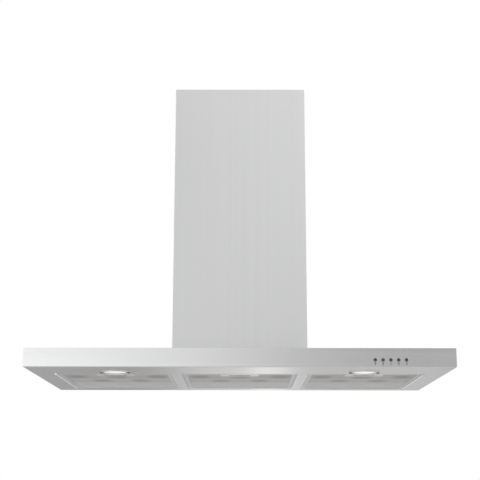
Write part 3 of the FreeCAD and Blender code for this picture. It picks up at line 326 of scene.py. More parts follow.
# Filter cores: thin expanded foil folded into waves behind the outer sheet. Its own small
# lozenges show as a crossing of two sets of slanting lines, with painted shade in the openings
# where the air goes through.
core_foil, tree, shader = new_finish("expanded foil core", Metallic=1.0)
where = node(tree, "ShaderNodeTexCoord").outputs["Object"]
place = node(tree, "ShaderNodeSeparateXYZ", {0: where}).outputs
foil_pitch_x, foil_pitch_y = 0.006, 0.003


def slanted(tree, sign):
    """One set of slanting lines, as a wave from -1 to 1."""
    turn_x = math_node(tree, "MULTIPLY", place["X"], math.pi / foil_pitch_x)
    turn_y = math_node(tree, "MULTIPLY", place["Y"], sign * math.pi / foil_pitch_y)
    return math_node(tree, "SINE", math_node(tree, "ADD", turn_x, turn_y))


weave_and_opening_shade = math_node(tree, "ABSOLUTE",
                  math_node(tree, "MULTIPLY", slanted(tree, 1), slanted(tree, -1)))
oily = use(tree, handling, Patch=40.0)["Cloud"]
feed(tree, shader,
     # painted shade: the colour goes dark in the openings of the lozenges
     Base_Color=tone(tree, weave_and_opening_shade, (0.0, 0.62), (0.25, 0.56), (0.55, 0.30)),
     Roughness=spread(tree, oily, 0.34, 0.5),
     Normal=relief(tree, weave_and_opening_shade, 0.0004))
dress(core_foil, "filter_core_left", "filter_core_middle", "filter_core_right")


# Filter screens: one sheet of expanded aluminium per cassette, its lozenges 10 by 5 mm. The strands
# stand a little askew, as the press leaves them, and the sheet bellies in broad low lozenges.
lozenge_x, lozenge_y, strand_share, strand_gauge = 0.010, 0.005, 0.62, 0.0004
strand_tilt, screen_lift, held_edge, easing = 0.0003, 0.0002, 0.008, 0.02
belly, belly_x, belly_y, belly_row = 0.0008, 0.090, 0.176, -0.294
screen_low, screen_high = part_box("filter_mesh_middle")
latch_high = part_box("latch_housing_middle")[1]


def belly_wave(x, y):
    """The broad staggered wave of the sheet, from -1 to 1; it rises over the first row's middle."""
    return math.cos(math.tau * x / belly_x) * math.cos(math.tau * (y - belly_row) / belly_y)


def screen_height(x, y):
    """How high the sheet lies; it is held flat in the channel all round."""
    room = min(x - screen_low.x, screen_high.x - x, y - screen_low.y, screen_high.y - y)
    free = min(1.0, max(0.0, (room - held_edge) / easing))
    return screen_low.z + screen_lift + belly * free * belly_wave(x, y)


def screen_mesh():
    """Lozenge rings that share their outer corners, each a little askew, clear of the latch."""
    points, faces, seen = [], [], {}

    def corner(x, y, lift):
        key = (round(x * 1e6), round(y * 1e6), round(lift * 1e6))
        if key not in seen:
            seen[key] = len(points)
            points.append((x, y, screen_height(x, y) + lift))
        return seen[key]

    columns = int((screen_high.x - screen_low.x) / lozenge_x) + 1
    rows = int((screen_high.y - screen_low.y) / lozenge_y * 2) + 1
    for row in range(rows):
        y = screen_low.y + lozenge_y / 2 * (row + 1)
        for column in range(-columns // 2, columns // 2 + 1):
            x = (column + row % 2 / 2) * lozenge_x
            inside_x = abs(x) < screen_high.x - lozenge_x / 2
            clear_of_latch = (y > latch_high.y - lozenge_y * 0.6
                              or abs(x) > latch_high.x - lozenge_x * 0.4)
            if not inside_x or y > screen_high.y - lozenge_y / 2 or not clear_of_latch:
                continue
            outer, inner = [], []
            for along, back in ((1, 0), (0, 1), (-1, 0), (0, -1)):
                outer.append(corner(x + along * lozenge_x / 2, y + back * lozenge_y / 2, 0.0))
                inner.append(corner(x + along * lozenge_x / 2 * strand_share,
                                    y + back * lozenge_y / 2 * strand_share, strand_tilt * back))
            for k in range(4):
                faces.append((outer[k], outer[k - 3], inner[k - 3], inner[k]))
    return mesh_of("expanded screen", points, faces, 60)


# The sheet's colour carries painted shade: dark lozenges over the bellies of the first rows stand
# in for the shade and reflections the bellies turn, stronger where the sheet is seen along its
# surface, and a painted gradient makes the sheet darker towards the front and lighter towards the
# back.
screen_aluminium, tree, shader = new_finish("expanded aluminium sheet", Metallic=1.0)
where = node(tree, "ShaderNodeTexCoord").outputs["Object"]
place = node(tree, "ShaderNodeSeparateXYZ", {0: where}).outputs
turn_x = math_node(tree, "MULTIPLY", place["X"], math.tau / belly_x)
turn_y = math_node(tree, "MULTIPLY", math_node(tree, "SUBTRACT", place["Y"], belly_row),
                   math.tau / belly_y)
belly_shade_wave = math_node(tree, "MULTIPLY", math_node(tree, "COSINE", turn_x),
                   math_node(tree, "COSINE", turn_y))
fine = use(tree, hairline, Lines=(300.0, 1200.0, 1200.0))["Line"]
nearer = spread(tree, place["Y"], 1.0, 0.1, -0.20, -0.16)
# row: painted shade in bands along both rows of bellies
row = math_node(tree, "ABSOLUTE", math_node(tree, "COSINE", turn_y))
painted_belly_shade = math_node(tree, "ADD", spread(tree, belly_shade_wave, 0.0, 0.5, -0.2, 0.8),
                    spread(tree, row, 0.0, 0.22, 0.6, 1.0))
# painted shade: the belly darkening grows where the sheet is seen along its surface
facing = node(tree, "ShaderNodeLayerWeight", {"Blend": 0.5}).outputs["Facing"]
grazing_shade_share = spread(tree, facing, 0.3, 1.0, 0.3, 0.85)
painted_belly_shade = math_node(tree, "MULTIPLY", painted_belly_shade, grazing_shade_share)
belly_shade_and_grain = math_node(tree, "ADD", math_node(tree, "MULTIPLY", painted_belly_shade, nearer),
                   math_node(tree, "MULTIPLY", fine, 0.2))
# painted gradient of light: darker towards the front rows, lighter towards the back
painted_shade_and_grain = math_node(tree, "ADD", belly_shade_and_grain, spread(tree, place["Y"], 0.35, 0.0, -0.36, -0.12))
feed(tree, shader,
     Base_Color=tone(tree, painted_shade_and_grain, (0.0, (0.71, 0.70, 0.69)), (0.2, (0.60, 0.59, 0.585)),
                     (1.0, (0.37, 0.36, 0.355))),
     Roughness=spread(tree, fine, 0.42, 0.54),
     Normal=relief(tree, fine, 0.00005))
expanded = screen_mesh()
for name in ("left", "middle", "right"):
    low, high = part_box("filter_mesh_" + name)
    screen = bpy.data.objects.new("filter_screen_" + name, expanded)
    bpy.context.scene.collection.objects.link(screen)
    if not expanded.materials:
        expanded.materials.append(screen_aluminium)
    screen.location.x = (low.x + high.x) / 2
    gauge = screen.modifiers.new("sheet gauge", "SOLIDIFY")
    gauge.thickness = strand_gauge
    gauge.offset = 0.0
    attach(screen, "filter_" + name)
    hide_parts("filter_mesh_" + name)


# Latches: a moulded tray in the front of each cassette under a silver lacquer, a brighter slider
# with a thumb scoop that draws the bolt back, and a leaf spring behind it.
pebble, given, out = new_group("moulded grain", {"Pits": 2600.0}, ["Pit"])
where = node(pebble, "ShaderNodeTexCoord").outputs["Object"]
pits = node(pebble, "ShaderNodeTexVoronoi", {"Vector": where, "Scale": given.outputs["Pits"]},
            feature="SMOOTH_F1")
pebble.links.new(pits.outputs["Distance"], out.inputs["Pit"])


def moulded(name, dark, light, rough, pits, depth, **plain):
    """A moulded plastic with a pebbled skin and a little cloudiness."""
    made, tree, shader = new_finish(name, **plain)
    pit = use(tree, pebble, Pits=pits)["Pit"]
    cloud = use(tree, handling, Patch=30.0)["Cloud"]
    feed(tree, shader,
         Base_Color=tone(tree, cloud, (0.3, dark), (0.7, light)),
         Roughness=spread(tree, pit, rough - 0.04, rough + 0.06),
         Normal=relief(tree, pit, depth))
    return made


lacquer = {"Metallic": 0.85, "Coat_Weight": 0.15}
latch_lacquer = moulded("silver latch tray", (0.63, 0.63, 0.63), (0.69, 0.69, 0.69),
                        0.40, 2600.0, 0.00003, **lacquer)
slider_lacquer = moulded("bright latch slider", (0.80, 0.80, 0.80), (0.86, 0.86, 0.86),
                         0.30, 2600.0, 0.00003, **lacquer)
spring_strip, tree, shader = new_finish("bright spring strip", Metallic=1.0)
drawn = use(tree, hairline, Lines=(20.0, 1500.0, 1500.0))["Line"]
feed(tree, shader, Base_Color=tone(tree, drawn, (0.3, 0.42), (0.7, 0.56)),
     Roughness=spread(tree, drawn, 0.2, 0.34), Normal=relief(tree, drawn, 0.00001))


def spring_mesh(name, low, high, gauge=0.0006, steps=64):
    """A leaf bent in an even wave between the slider and the back of its recess."""
    points, faces = [], []
    for k in range(steps + 1):
        along = low.x + (high.x - low.x) * k / steps
        wave = (1 + math.cos(4 * math.pi * k / steps)) / 2
        back = low.y + gauge + (high.y - low.y - gauge) * wave
        points += [Vector((along, y, z)) for y, z in
                   ((back - gauge, low.z), (back, low.z), (back, high.z), (back - gauge, high.z))]
    for k in range(steps):
        for i in range(4):
            a, b = 4 * k + i, 4 * k + (i + 1) % 4
            faces.append((a, b, b + 4, a + 4))
    faces += [(3, 2, 1, 0), tuple(4 * steps + i for i in range(4))]
    return mesh_of(name, points, faces, 40)


for name in ("left", "middle", "right"):
    dress(latch_lacquer, "latch_housing_" + name)
    dress(slider_lacquer, "latch_slider_" + name)
    low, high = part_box("latch_spring_" + name)
    leaf = bpy.data.objects.new("leaf_spring_" + name,
                                spring_mesh("leaf spring " + name, low, high))
    leaf.data.materials.append(spring_strip)
    bpy.context.scene.collection.objects.link(leaf)
    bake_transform(leaf)
    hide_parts("latch_spring_" + name)


# Lamps: a cast and plated ring with a rounded rim and a dished inner face, two near-black pads
# on its sides whose dark is painted shade of notches, and a frosted lens lit from behind. The
# sealed body behind clips into the hole.
def turned(profile, count=96, middle=(0.0, 0.0, 0.0), axis="Z"):
    """Points and faces of a profile of (radius, height) turned about an axis through middle."""
    points, faces, rings = [], [], []
    for radius, height in profile:
        if radius == 0.0:
            rings.append([len(points)])
            points.append(Vector((0.0, 0.0, height)))
            continue
        rings.append(list(range(len(points), len(points) + count)))
        for k in range(count):
            angle = math.tau * k / count
            points.append(Vector((radius * math.cos(angle), radius * math.sin(angle), height)))
    for first, second in zip(rings, rings[1:]):
        for k in range(count):
            after = (k + 1) % count
            if len(first) == 1:
                faces.append((first[0], second[k], second[after]))
            elif len(second) == 1:
                faces.append((first[k], second[0], first[after]))
            else:
                faces.append((first[k], second[k], second[after], first[after]))
    turn = {"Z": Matrix.Identity(3), "-Y": Matrix.Rotation(math.pi / 2, 3, "X"),
            "-Z": Matrix.Rotation(math.pi, 3, "X"), "X": Matrix.Rotation(math.pi / 2, 3, "Y"),
            "-X": Matrix.Rotation(-math.pi / 2, 3, "Y")}[axis]
    return [turn @ p + Vector(middle) for p in points], faces


plated, tree, shader = new_finish("plated lamp ring", Metallic=1.0)
hands = use(tree, handling, Patch=60.0)["Cloud"]
spun = use(tree, hairline, Lines=(700.0, 700.0, 700.0))["Line"]
feed(tree, shader,
     Base_Color=tone(tree, hands, (0.3, (0.60, 0.605, 0.61)), (0.7, (0.67, 0.67, 0.67))),
     Roughness=spread(tree, spun, 0.28, 0.38))
# painted shade: the pads are near black where the ring's notches fall in shade
notch_shade_pad = moulded("pad of painted notch shade", (0.035, 0.035, 0.035), (0.06, 0.06, 0.06),
                   0.5, 3000.0, 0.00003)
frosted, tree, shader = new_finish("frosted lit lens", Emission_Strength=0.36, Roughness=0.35)
lens_cloud = use(tree, handling, Patch=90.0)["Cloud"]
feed(tree, shader,
     Base_Color=tone(tree, lens_cloud, (0.3, (0.80, 0.80, 0.78)), (0.7, (0.86, 0.86, 0.84))),
     Emission_Color=tone(tree, lens_cloud, (0.3, (0.94, 0.94, 0.91)), (0.7, (1.0, 1.0, 0.97))))
lamps_low, lamps_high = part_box("lamp_housings")
ring_radius = (lamps_high.y - lamps_low.y) / 2
lamp_x = lamps_high.x - ring_radius
lamp_y = (lamps_high.y + lamps_low.y) / 2
ring_drop = -lamps_low.z
body_top = lamps_high.z
body_radius, mouth, recess = 0.0296, 0.023, 0.0016
lens_radius, lens_drop, lens_dome, lens_steps = mouth - 0.0001, 0.0021, 0.0019, 8
pad_inset, pad_half_width, pad_half_length = 0.0050, 0.0038, 0.0085
pad_profile = [(0.0, 0.0), (1.0, 0.0), (1.0, 0.6), (0.94, 0.85), (0.8, 0.97), (0.0, 1.0)]
for name, side in (("left", -1), ("right", 1)):
    middle = (side * lamp_x, lamp_y, 0.0)
    profile = [(0.0, -body_top), (body_radius - 0.0015, -body_top),
               (body_radius - 0.0004, -body_top + 0.0004), (body_radius, -body_top + 0.0015),
               (body_radius, 0.0), (ring_radius, 0.0)]
    profile += [(ring_radius - inward, drop) for inward, drop in
                ((0.0, 0.0003), (0.0003, 0.0006), (0.0010, 0.0009), (0.0030, 0.0013),
                 (0.0050, 0.0016), (0.0065, 0.0017), (0.0078, 0.0016), (0.0090, 0.0012))]
    profile += [(mouth + 0.0012, 0.0008), (mouth + 0.0004, 0.0005), (mouth, 0.0001),
                (mouth, -recess), (0.0, -recess)]
    points, faces = turned(profile[::-1], 96, middle, "-Z")
    ring = link_mesh("lamp_ring_" + name, mesh_of("lamp ring " + name, points, faces, 40),
                     plated, "hood")
    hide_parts("lamp_housings")
    lens_profile = [(lens_radius * k / lens_steps, lens_drop - lens_dome * (k / lens_steps) ** 2)
                    for k in range(lens_steps + 1)]
    lens_profile += [(lens_radius, -recess), (0.0, -recess)]
    points, faces = turned(lens_profile, 72, middle, "-Z")
    lens = link_mesh("lamp_lens_" + name, mesh_of("lamp lens " + name, points, faces, 40),
                     frosted, "hood")
    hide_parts("lamp_lenses")
    points, faces = [], []
    for hand in (-1, 1):
        x = middle[0] + hand * (ring_radius - pad_inset)
        pad, sides = turned(pad_profile, 32)
        start = len(points)
        points += [Vector((x + p.x * pad_half_width, lamp_y + p.y * pad_half_length,
                           -p.z * ring_drop)) for p in pad]
        faces += [tuple(start + k for k in face) for face in sides]
    link_mesh("lamp_pads_" + name, mesh_of("lamp pads " + name, points, faces, 40),
              notch_shade_pad, "hood")


# Buttons: five turned black caps that stand a little proud of the front face, each on a square
# flange and stem that the guide keeps from turning. They share one shape.
cap_black, tree, shader = new_finish("polished black cap", Coat_Weight=0.4, Coat_Roughness=0.08)
rub = use(tree, handling, Patch=400.0)["Cloud"]
feed(tree, shader, Base_Color=tone(tree, rub, (0.3, 0.025), (0.8, 0.055)),
     Roughness=spread(tree, rub, 0.2, 0.36))
cap_radius, cap_round, cap_length = 0.0033, 0.0007, 0.004
flange_thickness, stem_half = 0.0012, 0.0015
dished_face = [(0.0, -0.0003), (0.0016, -0.0001), (0.0024, 0.0)]
box_sides = ((0, 1, 2, 3), (7, 6, 5, 4), (0, 4, 5, 1), (1, 5, 6, 2), (2, 6, 7, 3), (3, 7, 4, 0))


def cap_mesh(low, high):
    """A turned cap with a dished face, and its square flange and stem behind."""
    middle = (low + high) / 2
    flange_front = low.y + cap_length
    flange_back = flange_front + flange_thickness
    rounding = [math.pi / 2 * k / 6 for k in range(7)]
    profile = dished_face + [(cap_radius - cap_round + cap_round * math.sin(a),
                              -cap_round * (1 - math.cos(a))) for a in rounding]
    profile += [(cap_radius, -cap_length), (0.0, -cap_length)]
    points, faces = turned([(r, -h) for r, h in profile], 48, (middle.x, low.y, middle.z), "-Y")
    points = [Vector((p.x, 2 * low.y - p.y, p.z)) for p in points]
    for half, front, back in (((high.x - low.x) / 2, flange_front, flange_back),
                              (stem_half, flange_back, high.y)):
        start = len(points)
        points += [Vector((middle.x + sx * half, y, middle.z + sz * half))
                   for y in (front, back) for sx, sz in ((-1, -1), (1, -1), (1, 1), (-1, 1))]
        faces += [tuple(start + k for k in side) for side in box_sides]
    return mesh_of("button cap", points, faces, 40)


for name in ("lamp", "stop", "low", "medium", "high"):
    low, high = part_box("button_" + name)
    cap = link_mesh("button_cap_" + name, cap_mesh(low, high), cap_black,
                    "button_" + name)
    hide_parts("button_" + name)


# Button marks: small signs printed under the buttons in dark ink, a bulb for the lamps, a nought
# for stop and one, two and three for the speeds.
ink, tree, shader = new_finish("printed ink", Roughness=0.6)
patchy = use(tree, handling, Patch=900.0)["Cloud"]
feed(tree, shader, Base_Color=tone(tree, patchy, (0.3, 0.02), (0.8, 0.06)))


def arc(x, z, radius_x, radius_z, start, end, steps=14):
    """Points of an arc, in degrees."""
    angles = [math.radians(start + (end - start) * k / steps) for k in range(steps + 1)]
    return [(x + radius_x * math.cos(a), z + radius_z * math.sin(a)) for a in angles]


ink_depth = Vector((0.0, 0.00006, 0.0))


def drawn_strokes(strokes, width, middle_x, middle_z, front):
    """Thin ribbons of ink that follow lines drawn in millimetres about a middle."""
    points, faces = [], []
    for stroke in strokes:
        line = [Vector((middle_x + x / 1000, front, middle_z + z / 1000)) for x, z in stroke]
        start = len(points)
        for k, at in enumerate(line):
            run = (line[min(k + 1, len(line) - 1)] - line[max(k - 1, 0)]).normalized()
            side = Vector((-run.z, 0.0, run.x)) * (width / 2)
            points += [at - side, at + side, at + side + ink_depth, at - side + ink_depth]
        for a in range(start, start + 4 * len(line) - 4, 4):
            faces += [(a + i, a + i + 4, a + (i + 1) % 4 + 4, a + (i + 1) % 4) for i in range(4)]
        faces += [tuple(range(start, start + 4)),
                  tuple(reversed(range(len(points) - 4, len(points))))]
    return points, faces


signs = {
    "lamp": [arc(0, 0.6, 1.1, 1.1, -65, 245), [(-0.65, -0.75), (0.65, -0.75)],
             [(-0.5, -1.45), (0.5, -1.45)]],
    "stop": [arc(0, 0, 0.95, 1.7, 0, 360, 28)],
    "low": [[(-0.6, 1.1), (0.1, 1.7), (0.1, -1.7)]],
    "medium": [arc(0, 0.75, 0.95, 0.95, 170, -35) + [(-0.95, -1.65), (1.05, -1.65)]],
    "high": [arc(0, 0.85, 0.85, 0.85, 150, -90), arc(0, -0.85, 0.95, 0.85, 90, -150)],
}
mark_drop, mark_scale, stroke_width, ink_rise = 0.0078, 1.2, 0.0011, 0.00004
for name, strokes in signs.items():
    low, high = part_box("button_" + name)
    larger = [[(x * mark_scale, z * mark_scale) for x, z in stroke] for stroke in strokes]
    points, faces = drawn_strokes(larger, stroke_width, (low.x + high.x) / 2,
                                  (low.z + high.z) / 2 - mark_drop, canopy_low.y - ink_rise)
    link_mesh("button_mark_" + name, mesh_of("button mark " + name, points, faces), ink,
              "hood")


# Button guide and switch block: two black mouldings behind the front face, clipped to it. The
# stems run in square ways through the guide and press the switches in the block.
black_moulding = moulded("black moulding", (0.025, 0.025, 0.027), (0.045, 0.045, 0.048),
                         0.48, 1800.0, 0.00006)
dress(black_moulding, "button_guide", "switch_block")


# Galvanised sheet: the electrical box, the blower box and the hooks are folded from zinc-coated
# steel, which shows large flat crystals of zinc that each catch the light differently.
galvanised, tree, shader = new_finish("galvanised sheet", Metallic=1.0)
where = node(tree, "ShaderNodeTexCoord").outputs["Object"]
crystal = node(tree, "ShaderNodeTexVoronoi", {"Vector": where, "Scale": 95.0}, distance="MANHATTAN")
facet = node(tree, "ShaderNodeSeparateColor", {0: crystal.outputs["Color"]}).outputs[0]
dull = use(tree, handling, Patch=14.0)["Cloud"]
feed(tree, shader,
     Base_Color=tone(tree, facet, (0.0, (0.50, 0.52, 0.53)), (1.0, (0.64, 0.655, 0.66))),
     Roughness=math_node(tree, "ADD", spread(tree, facet, 0.34, 0.48),
                         spread(tree, dull, -0.05, 0.06)),
     Normal=relief(tree, facet, 0.00003))
dress(galvanised, "electrical_box", "electrical_cover", "blower_box", "wall_hooks")


# Electrical parts: a lacquered board with its relays, the motor's run capacitor in its sleeve and
# the white terminal block, all inside the electrical box under the lid.
board_green, tree, shader = new_finish("lacquered board", Coat_Weight=0.5, Coat_Roughness=0.12)
where = node(tree, "ShaderNodeTexCoord").outputs["Object"]
tracks = node(tree, "ShaderNodeTexBrick",
              {"Vector": where, "Scale": 120.0, "Mortar Size": 0.03, "Mortar Smooth": 0.1,
               "Color1": (0.02, 0.10, 0.045, 1.0), "Color2": (0.025, 0.13, 0.06, 1.0),
               "Mortar": (0.05, 0.24, 0.10, 1.0)})
feed(tree, shader, Base_Color=tracks.outputs["Color"],
     Roughness=spread(tree, tracks.outputs["Fac"], 0.34, 0.24),
     Normal=relief(tree, tracks.outputs["Fac"], 0.00004))
dress(board_green, "control_board")
dress(moulded("capacitor sleeve", (0.70, 0.70, 0.67), (0.78, 0.78, 0.75), 0.3, 1500.0, 0.00002),
      "capacitor")
dress(moulded("terminal nylon", (0.78, 0.78, 0.74), (0.86, 0.86, 0.83), 0.45, 2200.0, 0.00004),
      "terminal_block")


# Blower: a grey scroll moulded as a tub and its cover, a dark squirrel-cage wheel on a bright
# shaft, and an enamelled motor can with a stack of laminations round its middle.
dress(moulded("scroll plastic", (0.26, 0.27, 0.28), (0.32, 0.33, 0.34), 0.46, 1400.0, 0.00008),
      "scroll_tub", "scroll_cover")
dress(moulded("wheel plastic", (0.05, 0.052, 0.055), (0.08, 0.082, 0.085), 0.42, 1600.0, 0.00005),
      "impeller")
zinc, tree, shader = new_finish("bright zinc", Metallic=1.0)
turned_line = use(tree, hairline, Lines=(1400.0, 1400.0, 1400.0))["Line"]
feed(tree, shader,
     Base_Color=tone(tree, turned_line, (0.3, (0.58, 0.585, 0.57)), (0.7, (0.70, 0.70, 0.67))),
     Roughness=spread(tree, turned_line, 0.2, 0.34))
dress(zinc, "motor_shaft")
motor_enamel, tree, shader = new_finish("motor can", Coat_Weight=0.2)
motor_low, motor_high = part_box("motor")
where = node(tree, "ShaderNodeTexCoord").outputs["Object"]
along = node(tree, "ShaderNodeSeparateXYZ", {0: where}).outputs["X"]
motor_length = motor_high.x - motor_low.x
stack = math_node(tree, "LESS_THAN",
                  math_node(tree, "ABSOLUTE",
                            math_node(tree, "SUBTRACT", along, motor_low.x + motor_length * 0.5)),
                  motor_length * 0.24)
lamination = math_node(tree, "PINGPONG", along, 0.0008)
leaves = math_node(tree, "MULTIPLY", spread(tree, lamination, 0.0, 1.0, 0.0, 0.0008), stack)
skin = use(tree, handling, Patch=30.0)["Cloud"]
enamel = tone(tree, skin, (0.3, (0.10, 0.105, 0.11)), (0.7, (0.14, 0.145, 0.15)))
bare = tone(tree, leaves, (0.0, 0.12), (1.0, 0.34))
feed(tree, shader,
     Base_Color=node(tree, "ShaderNodeMix", {0: stack, 6: enamel, 7: bare},
                     data_type="RGBA").outputs[2],
     Metallic=math_node(tree, "MULTIPLY", stack, 0.9),
     Roughness=spread(tree, skin, 0.34, 0.5), Normal=relief(tree, leaves, 0.0003))
dress(motor_enamel, "motor")
dress(black_moulding, "outlet_collar", "flap_front", "flap_rear", "cable_gland")


# Small fasteners: pan-head screws with a cross recess, low rivets and one hexagon nut, all zinc
# plated. One head of each kind is shaped and then set down wherever it is driven.
def head_points(radius, rise, count=24):
    """A pan head standing on z = 0, domed, with a cross sunk in its top."""
    bm = bmesh.new()
    cross = [(a * radius * 0.5, b * radius * 0.5) for a, b in
             ((0.3, 1), (0.3, 0.3), (1, 0.3), (1, -0.3), (0.3, -0.3), (0.3, -1),
              (-0.3, -1), (-0.3, -0.3), (-1, -0.3), (-1, 0.3), (-0.3, 0.3), (-0.3, 1))]
    rings = []
    for share, lift in ((1.0, 0.0), (1.0, 0.35), (0.93, 0.66), (0.78, 0.9), (0.6, 1.0)):
        rings.append([bm.verts.new((radius * share * math.cos(math.tau * k / count),
                                    radius * share * math.sin(math.tau * k / count),
                                    rise * lift)) for k in range(count)])
    for first, second in zip(rings, rings[1:]):
        for k in range(count):
            bm.faces.new((first[k], first[(k + 1) % count], second[(k + 1) % count], second[k]))
    top = [bm.verts.new((x, y, rise)) for x, y in cross]
    sunk = [bm.verts.new((x * 0.85, y * 0.85, rise * 0.35)) for x, y in cross]
    rim = [bm.edges.get((rings[-1][k], rings[-1][(k + 1) % count])) for k in range(count)]
    edge = [bm.edges.new((top[k], top[(k + 1) % 12])) for k in range(12)]
    bmesh.ops.triangle_fill(bm, use_beauty=True, edges=rim + edge, normal=(0, 0, 1))
    for k in range(12):
        bm.faces.new((top[k], sunk[k], sunk[(k + 1) % 12], top[(k + 1) % 12]))
    bm.faces.new(sunk)
    bm.faces.new(rings[0])
    bmesh.ops.recalc_face_normals(bm, faces=bm.faces)
    bm.verts.index_update()
    shape = ([v.co.copy() for v in bm.verts], [tuple(v.index for v in f.verts) for f in bm.faces])
    bm.free()
    return shape


def rivet_points(radius, rise, count=24):
    """A low domed rivet head standing on z = 0."""
    steps, side_share = 5, 0.3
    domed = [(radius * math.cos(math.pi / 2 * k / steps),
              rise * (side_share + (1 - side_share) * math.sin(math.pi / 2 * k / steps)))
             for k in range(steps)]
    return turned([(0.0, rise)] + domed[::-1] + [(radius, 0.0), (0.0, 0.0)], count)


def nut_points(across, rise, bore):
    """A hexagon nut standing on z = 0, with a round bore."""
    corner = across / math.sqrt(3)
    points, faces = [], []
    for height in (0.0, rise):
        for radius in (corner, bore):
            points += [Vector((radius * math.cos(math.tau * k / 24) * hexagon(k, radius == corner),
                               radius * math.sin(math.tau * k / 24) * hexagon(k, radius == corner),
                               height)) for k in range(24)]
    for k in range(24):
        after = (k + 1) % 24
        faces += [(k, after, 48 + after, 48 + k), (24 + after, 24 + k, 72 + k, 72 + after),
                  (after, k, 24 + k, 24 + after), (48 + k, 48 + after, 72 + after, 72 + k)]
    return points, faces


def hexagon(k, wanted):
    """How far the hexagon's side lies in from its corners, a share, at the kth of 24 rays."""
    turned_by = (math.tau * k / 24) % (math.pi / 3) - math.pi / 6
    return math.cos(math.pi / 6) / math.cos(turned_by) if wanted else 1.0


def set_down(name, shape, spots, body):
    """One piece with a copy of the shape at each (point, way it faces)."""
    points, faces = [], []
    for index, (at, facing) in enumerate(spots):
        turn = Vector(facing).to_track_quat("Z", "Y").to_matrix()
        turn = turn @ Matrix.Rotation(0.7 * index, 3, "Z")
        start = len(points)
        points += [turn @ Vector(p) + Vector(at) for p in shape[0]]
        faces += [tuple(start + k for k in face) for face in shape[1]]
    link_mesh(name, mesh_of(name.replace("_", " "), points, faces, 35), zinc, body)


pan_head = head_points(radius=0.0032, rise=0.0018)
small_head = head_points(radius=0.0024, rise=0.0014)
# The blower box's flanges lie on the lid: two screws on each side and two in front.
canopy_sheet, blower_sheet = 0.001, 0.0008
flange_top = canopy_high.z - canopy_sheet + blower_sheet
side_screw_x, side_screws_y = 0.137, (-0.045, -0.215)
front_screws_x, front_screw_y = (-0.09, 0.09), -0.261
spots = [((side * side_screw_x, y, flange_top), (0, 0, 1))
         for side in (-1, 1) for y in side_screws_y]
spots += [((x, front_screw_y, flange_top), (0, 0, 1)) for x in front_screws_x]
set_down("blower_screws", pan_head, spots, "hood")
# One in each corner of the collar's flange.
collar_low, collar_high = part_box("outlet_collar")
collar_flange, collar_screw_x, collar_screw_y = 0.0025, 0.083, 0.071
collar_y, collar_top = (collar_low.y + collar_high.y) / 2, collar_low.z + collar_flange
set_down("collar_screws", small_head,
         [((sx * collar_screw_x, collar_y + sy * collar_screw_y, collar_top), (0, 0, 1))
          for sx in (-1, 1) for sy in (-1, 1)], "hood")
# One in each corner of the electrical box's cover, from below.
cover_low, cover_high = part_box("electrical_cover")
cover_inset = 0.006
set_down("cover_screws", small_head,
         [((sx * (cover_high.x - cover_inset), y, cover_low.z), (0, 0, -1)) for sx in (-1, 1)
          for y in (cover_low.y + cover_inset, cover_high.y - cover_inset)], "hood")
# Three hold the motor from inside the scroll, and the nut holds the wheel on the shaft.
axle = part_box("impeller")
axle_middle = (axle[0] + axle[1]) / 2
scroll_inside, motor_circle, nut_seat = 0.050, 0.034, 0.025
set_down("motor_screws", pan_head,
         [((scroll_inside, axle_middle.y + motor_circle * math.cos(angle),
            axle_middle.z + motor_circle * math.sin(angle)), (-1, 0, 0))
          for angle in (math.radians(90), math.radians(210), math.radians(330))], "hood")
set_down("wheel_nut", nut_points(across=0.013, rise=0.0042, bore=0.0041),
         [((nut_seat, axle_middle.y, axle_middle.z), (-1, 0, 0))], "impeller")


# Lower chimney: a stainless cover folded round the blower box, its grain upright. A screw on each
# side holds it to an ear of the blower box.
chimney_steel, tree, shader = new_finish("chimney steel", Metallic=1.0)
standing = use(tree, hairline, Lines=(1800.0, 1800.0, 4.0))
broad = use(tree, hairline, Lines=(400.0, 400.0, 0.5))["Streak"]
hands = use(tree, handling, Patch=5.0)["Cloud"]
both = math_node(tree, "ADD", math_node(tree, "MULTIPLY", standing["Line"], 0.6),
                 math_node(tree, "MULTIPLY", broad, 0.4))
feed(tree, shader,
     Base_Color=tone(tree, both, (0.3, (0.623, 0.63, 0.627)), (0.7, (0.654, 0.659, 0.655))),
     Roughness=math_node(tree, "ADD", spread(tree, both, 0.41, 0.47),
                         spread(tree, hands, -0.02, 0.03)),
     Normal=relief(tree, standing["Line"], 0.00001))
dress(chimney_steel, "lower_chimney", "upper_chimney")
chimney_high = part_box("lower_chimney")[1]
ear_screw_y, ear_screw_z = -0.100, 0.0465
set_down("chimney_screws", pan_head,
         [((side * chimney_high.x, ear_screw_y, ear_screw_z), (side, 0, 0)) for side in (-1, 1)],
         "hood")


# Upper chimney: the narrower cover that slides up out of the lower one, with cut air slots. Its
# wall bracket is folded from galvanised strip and held to it by two low rivets on each side.
dress(galvanised, "chimney_bracket")
upper_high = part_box("upper_chimney")[1]
bracket_low, bracket_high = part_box("chimney_bracket")
rivets_y = (-0.014, -0.030)
set_down("bracket_rivets", rivet_points(radius=0.003, rise=0.0006),
         [((side * upper_high.x, y, (bracket_low.z + bracket_high.z) / 2), (side, 0, 0))
          for side in (-1, 1) for y in rivets_y], "upper_chimney")


# Studio: a pale floor well below the hood, a white surround, two large panels that the steel
# mirrors, and one soft lamp. None of it belongs to the hood.
def stand(name, corners, finish):
    """A flat sheet of the studio through four corners."""
    made = bpy.data.objects.new(name, mesh_of(name, corners, [(0, 1, 2, 3)]))
    made.data.materials.append(finish)
    bpy.context.scene.collection.objects.link(made)
    return made


def panel(name, finish, half_width, y, low, high):
    """An upright sheet that shows only in the mirror of the steel."""
    made = stand(name, [(-half_width, y, low), (half_width, y, low),
                        (half_width, y, high), (-half_width, y, high)], finish)
    made.visible_camera = False
    made.visible_shadow = False
    made.visible_diffuse = False


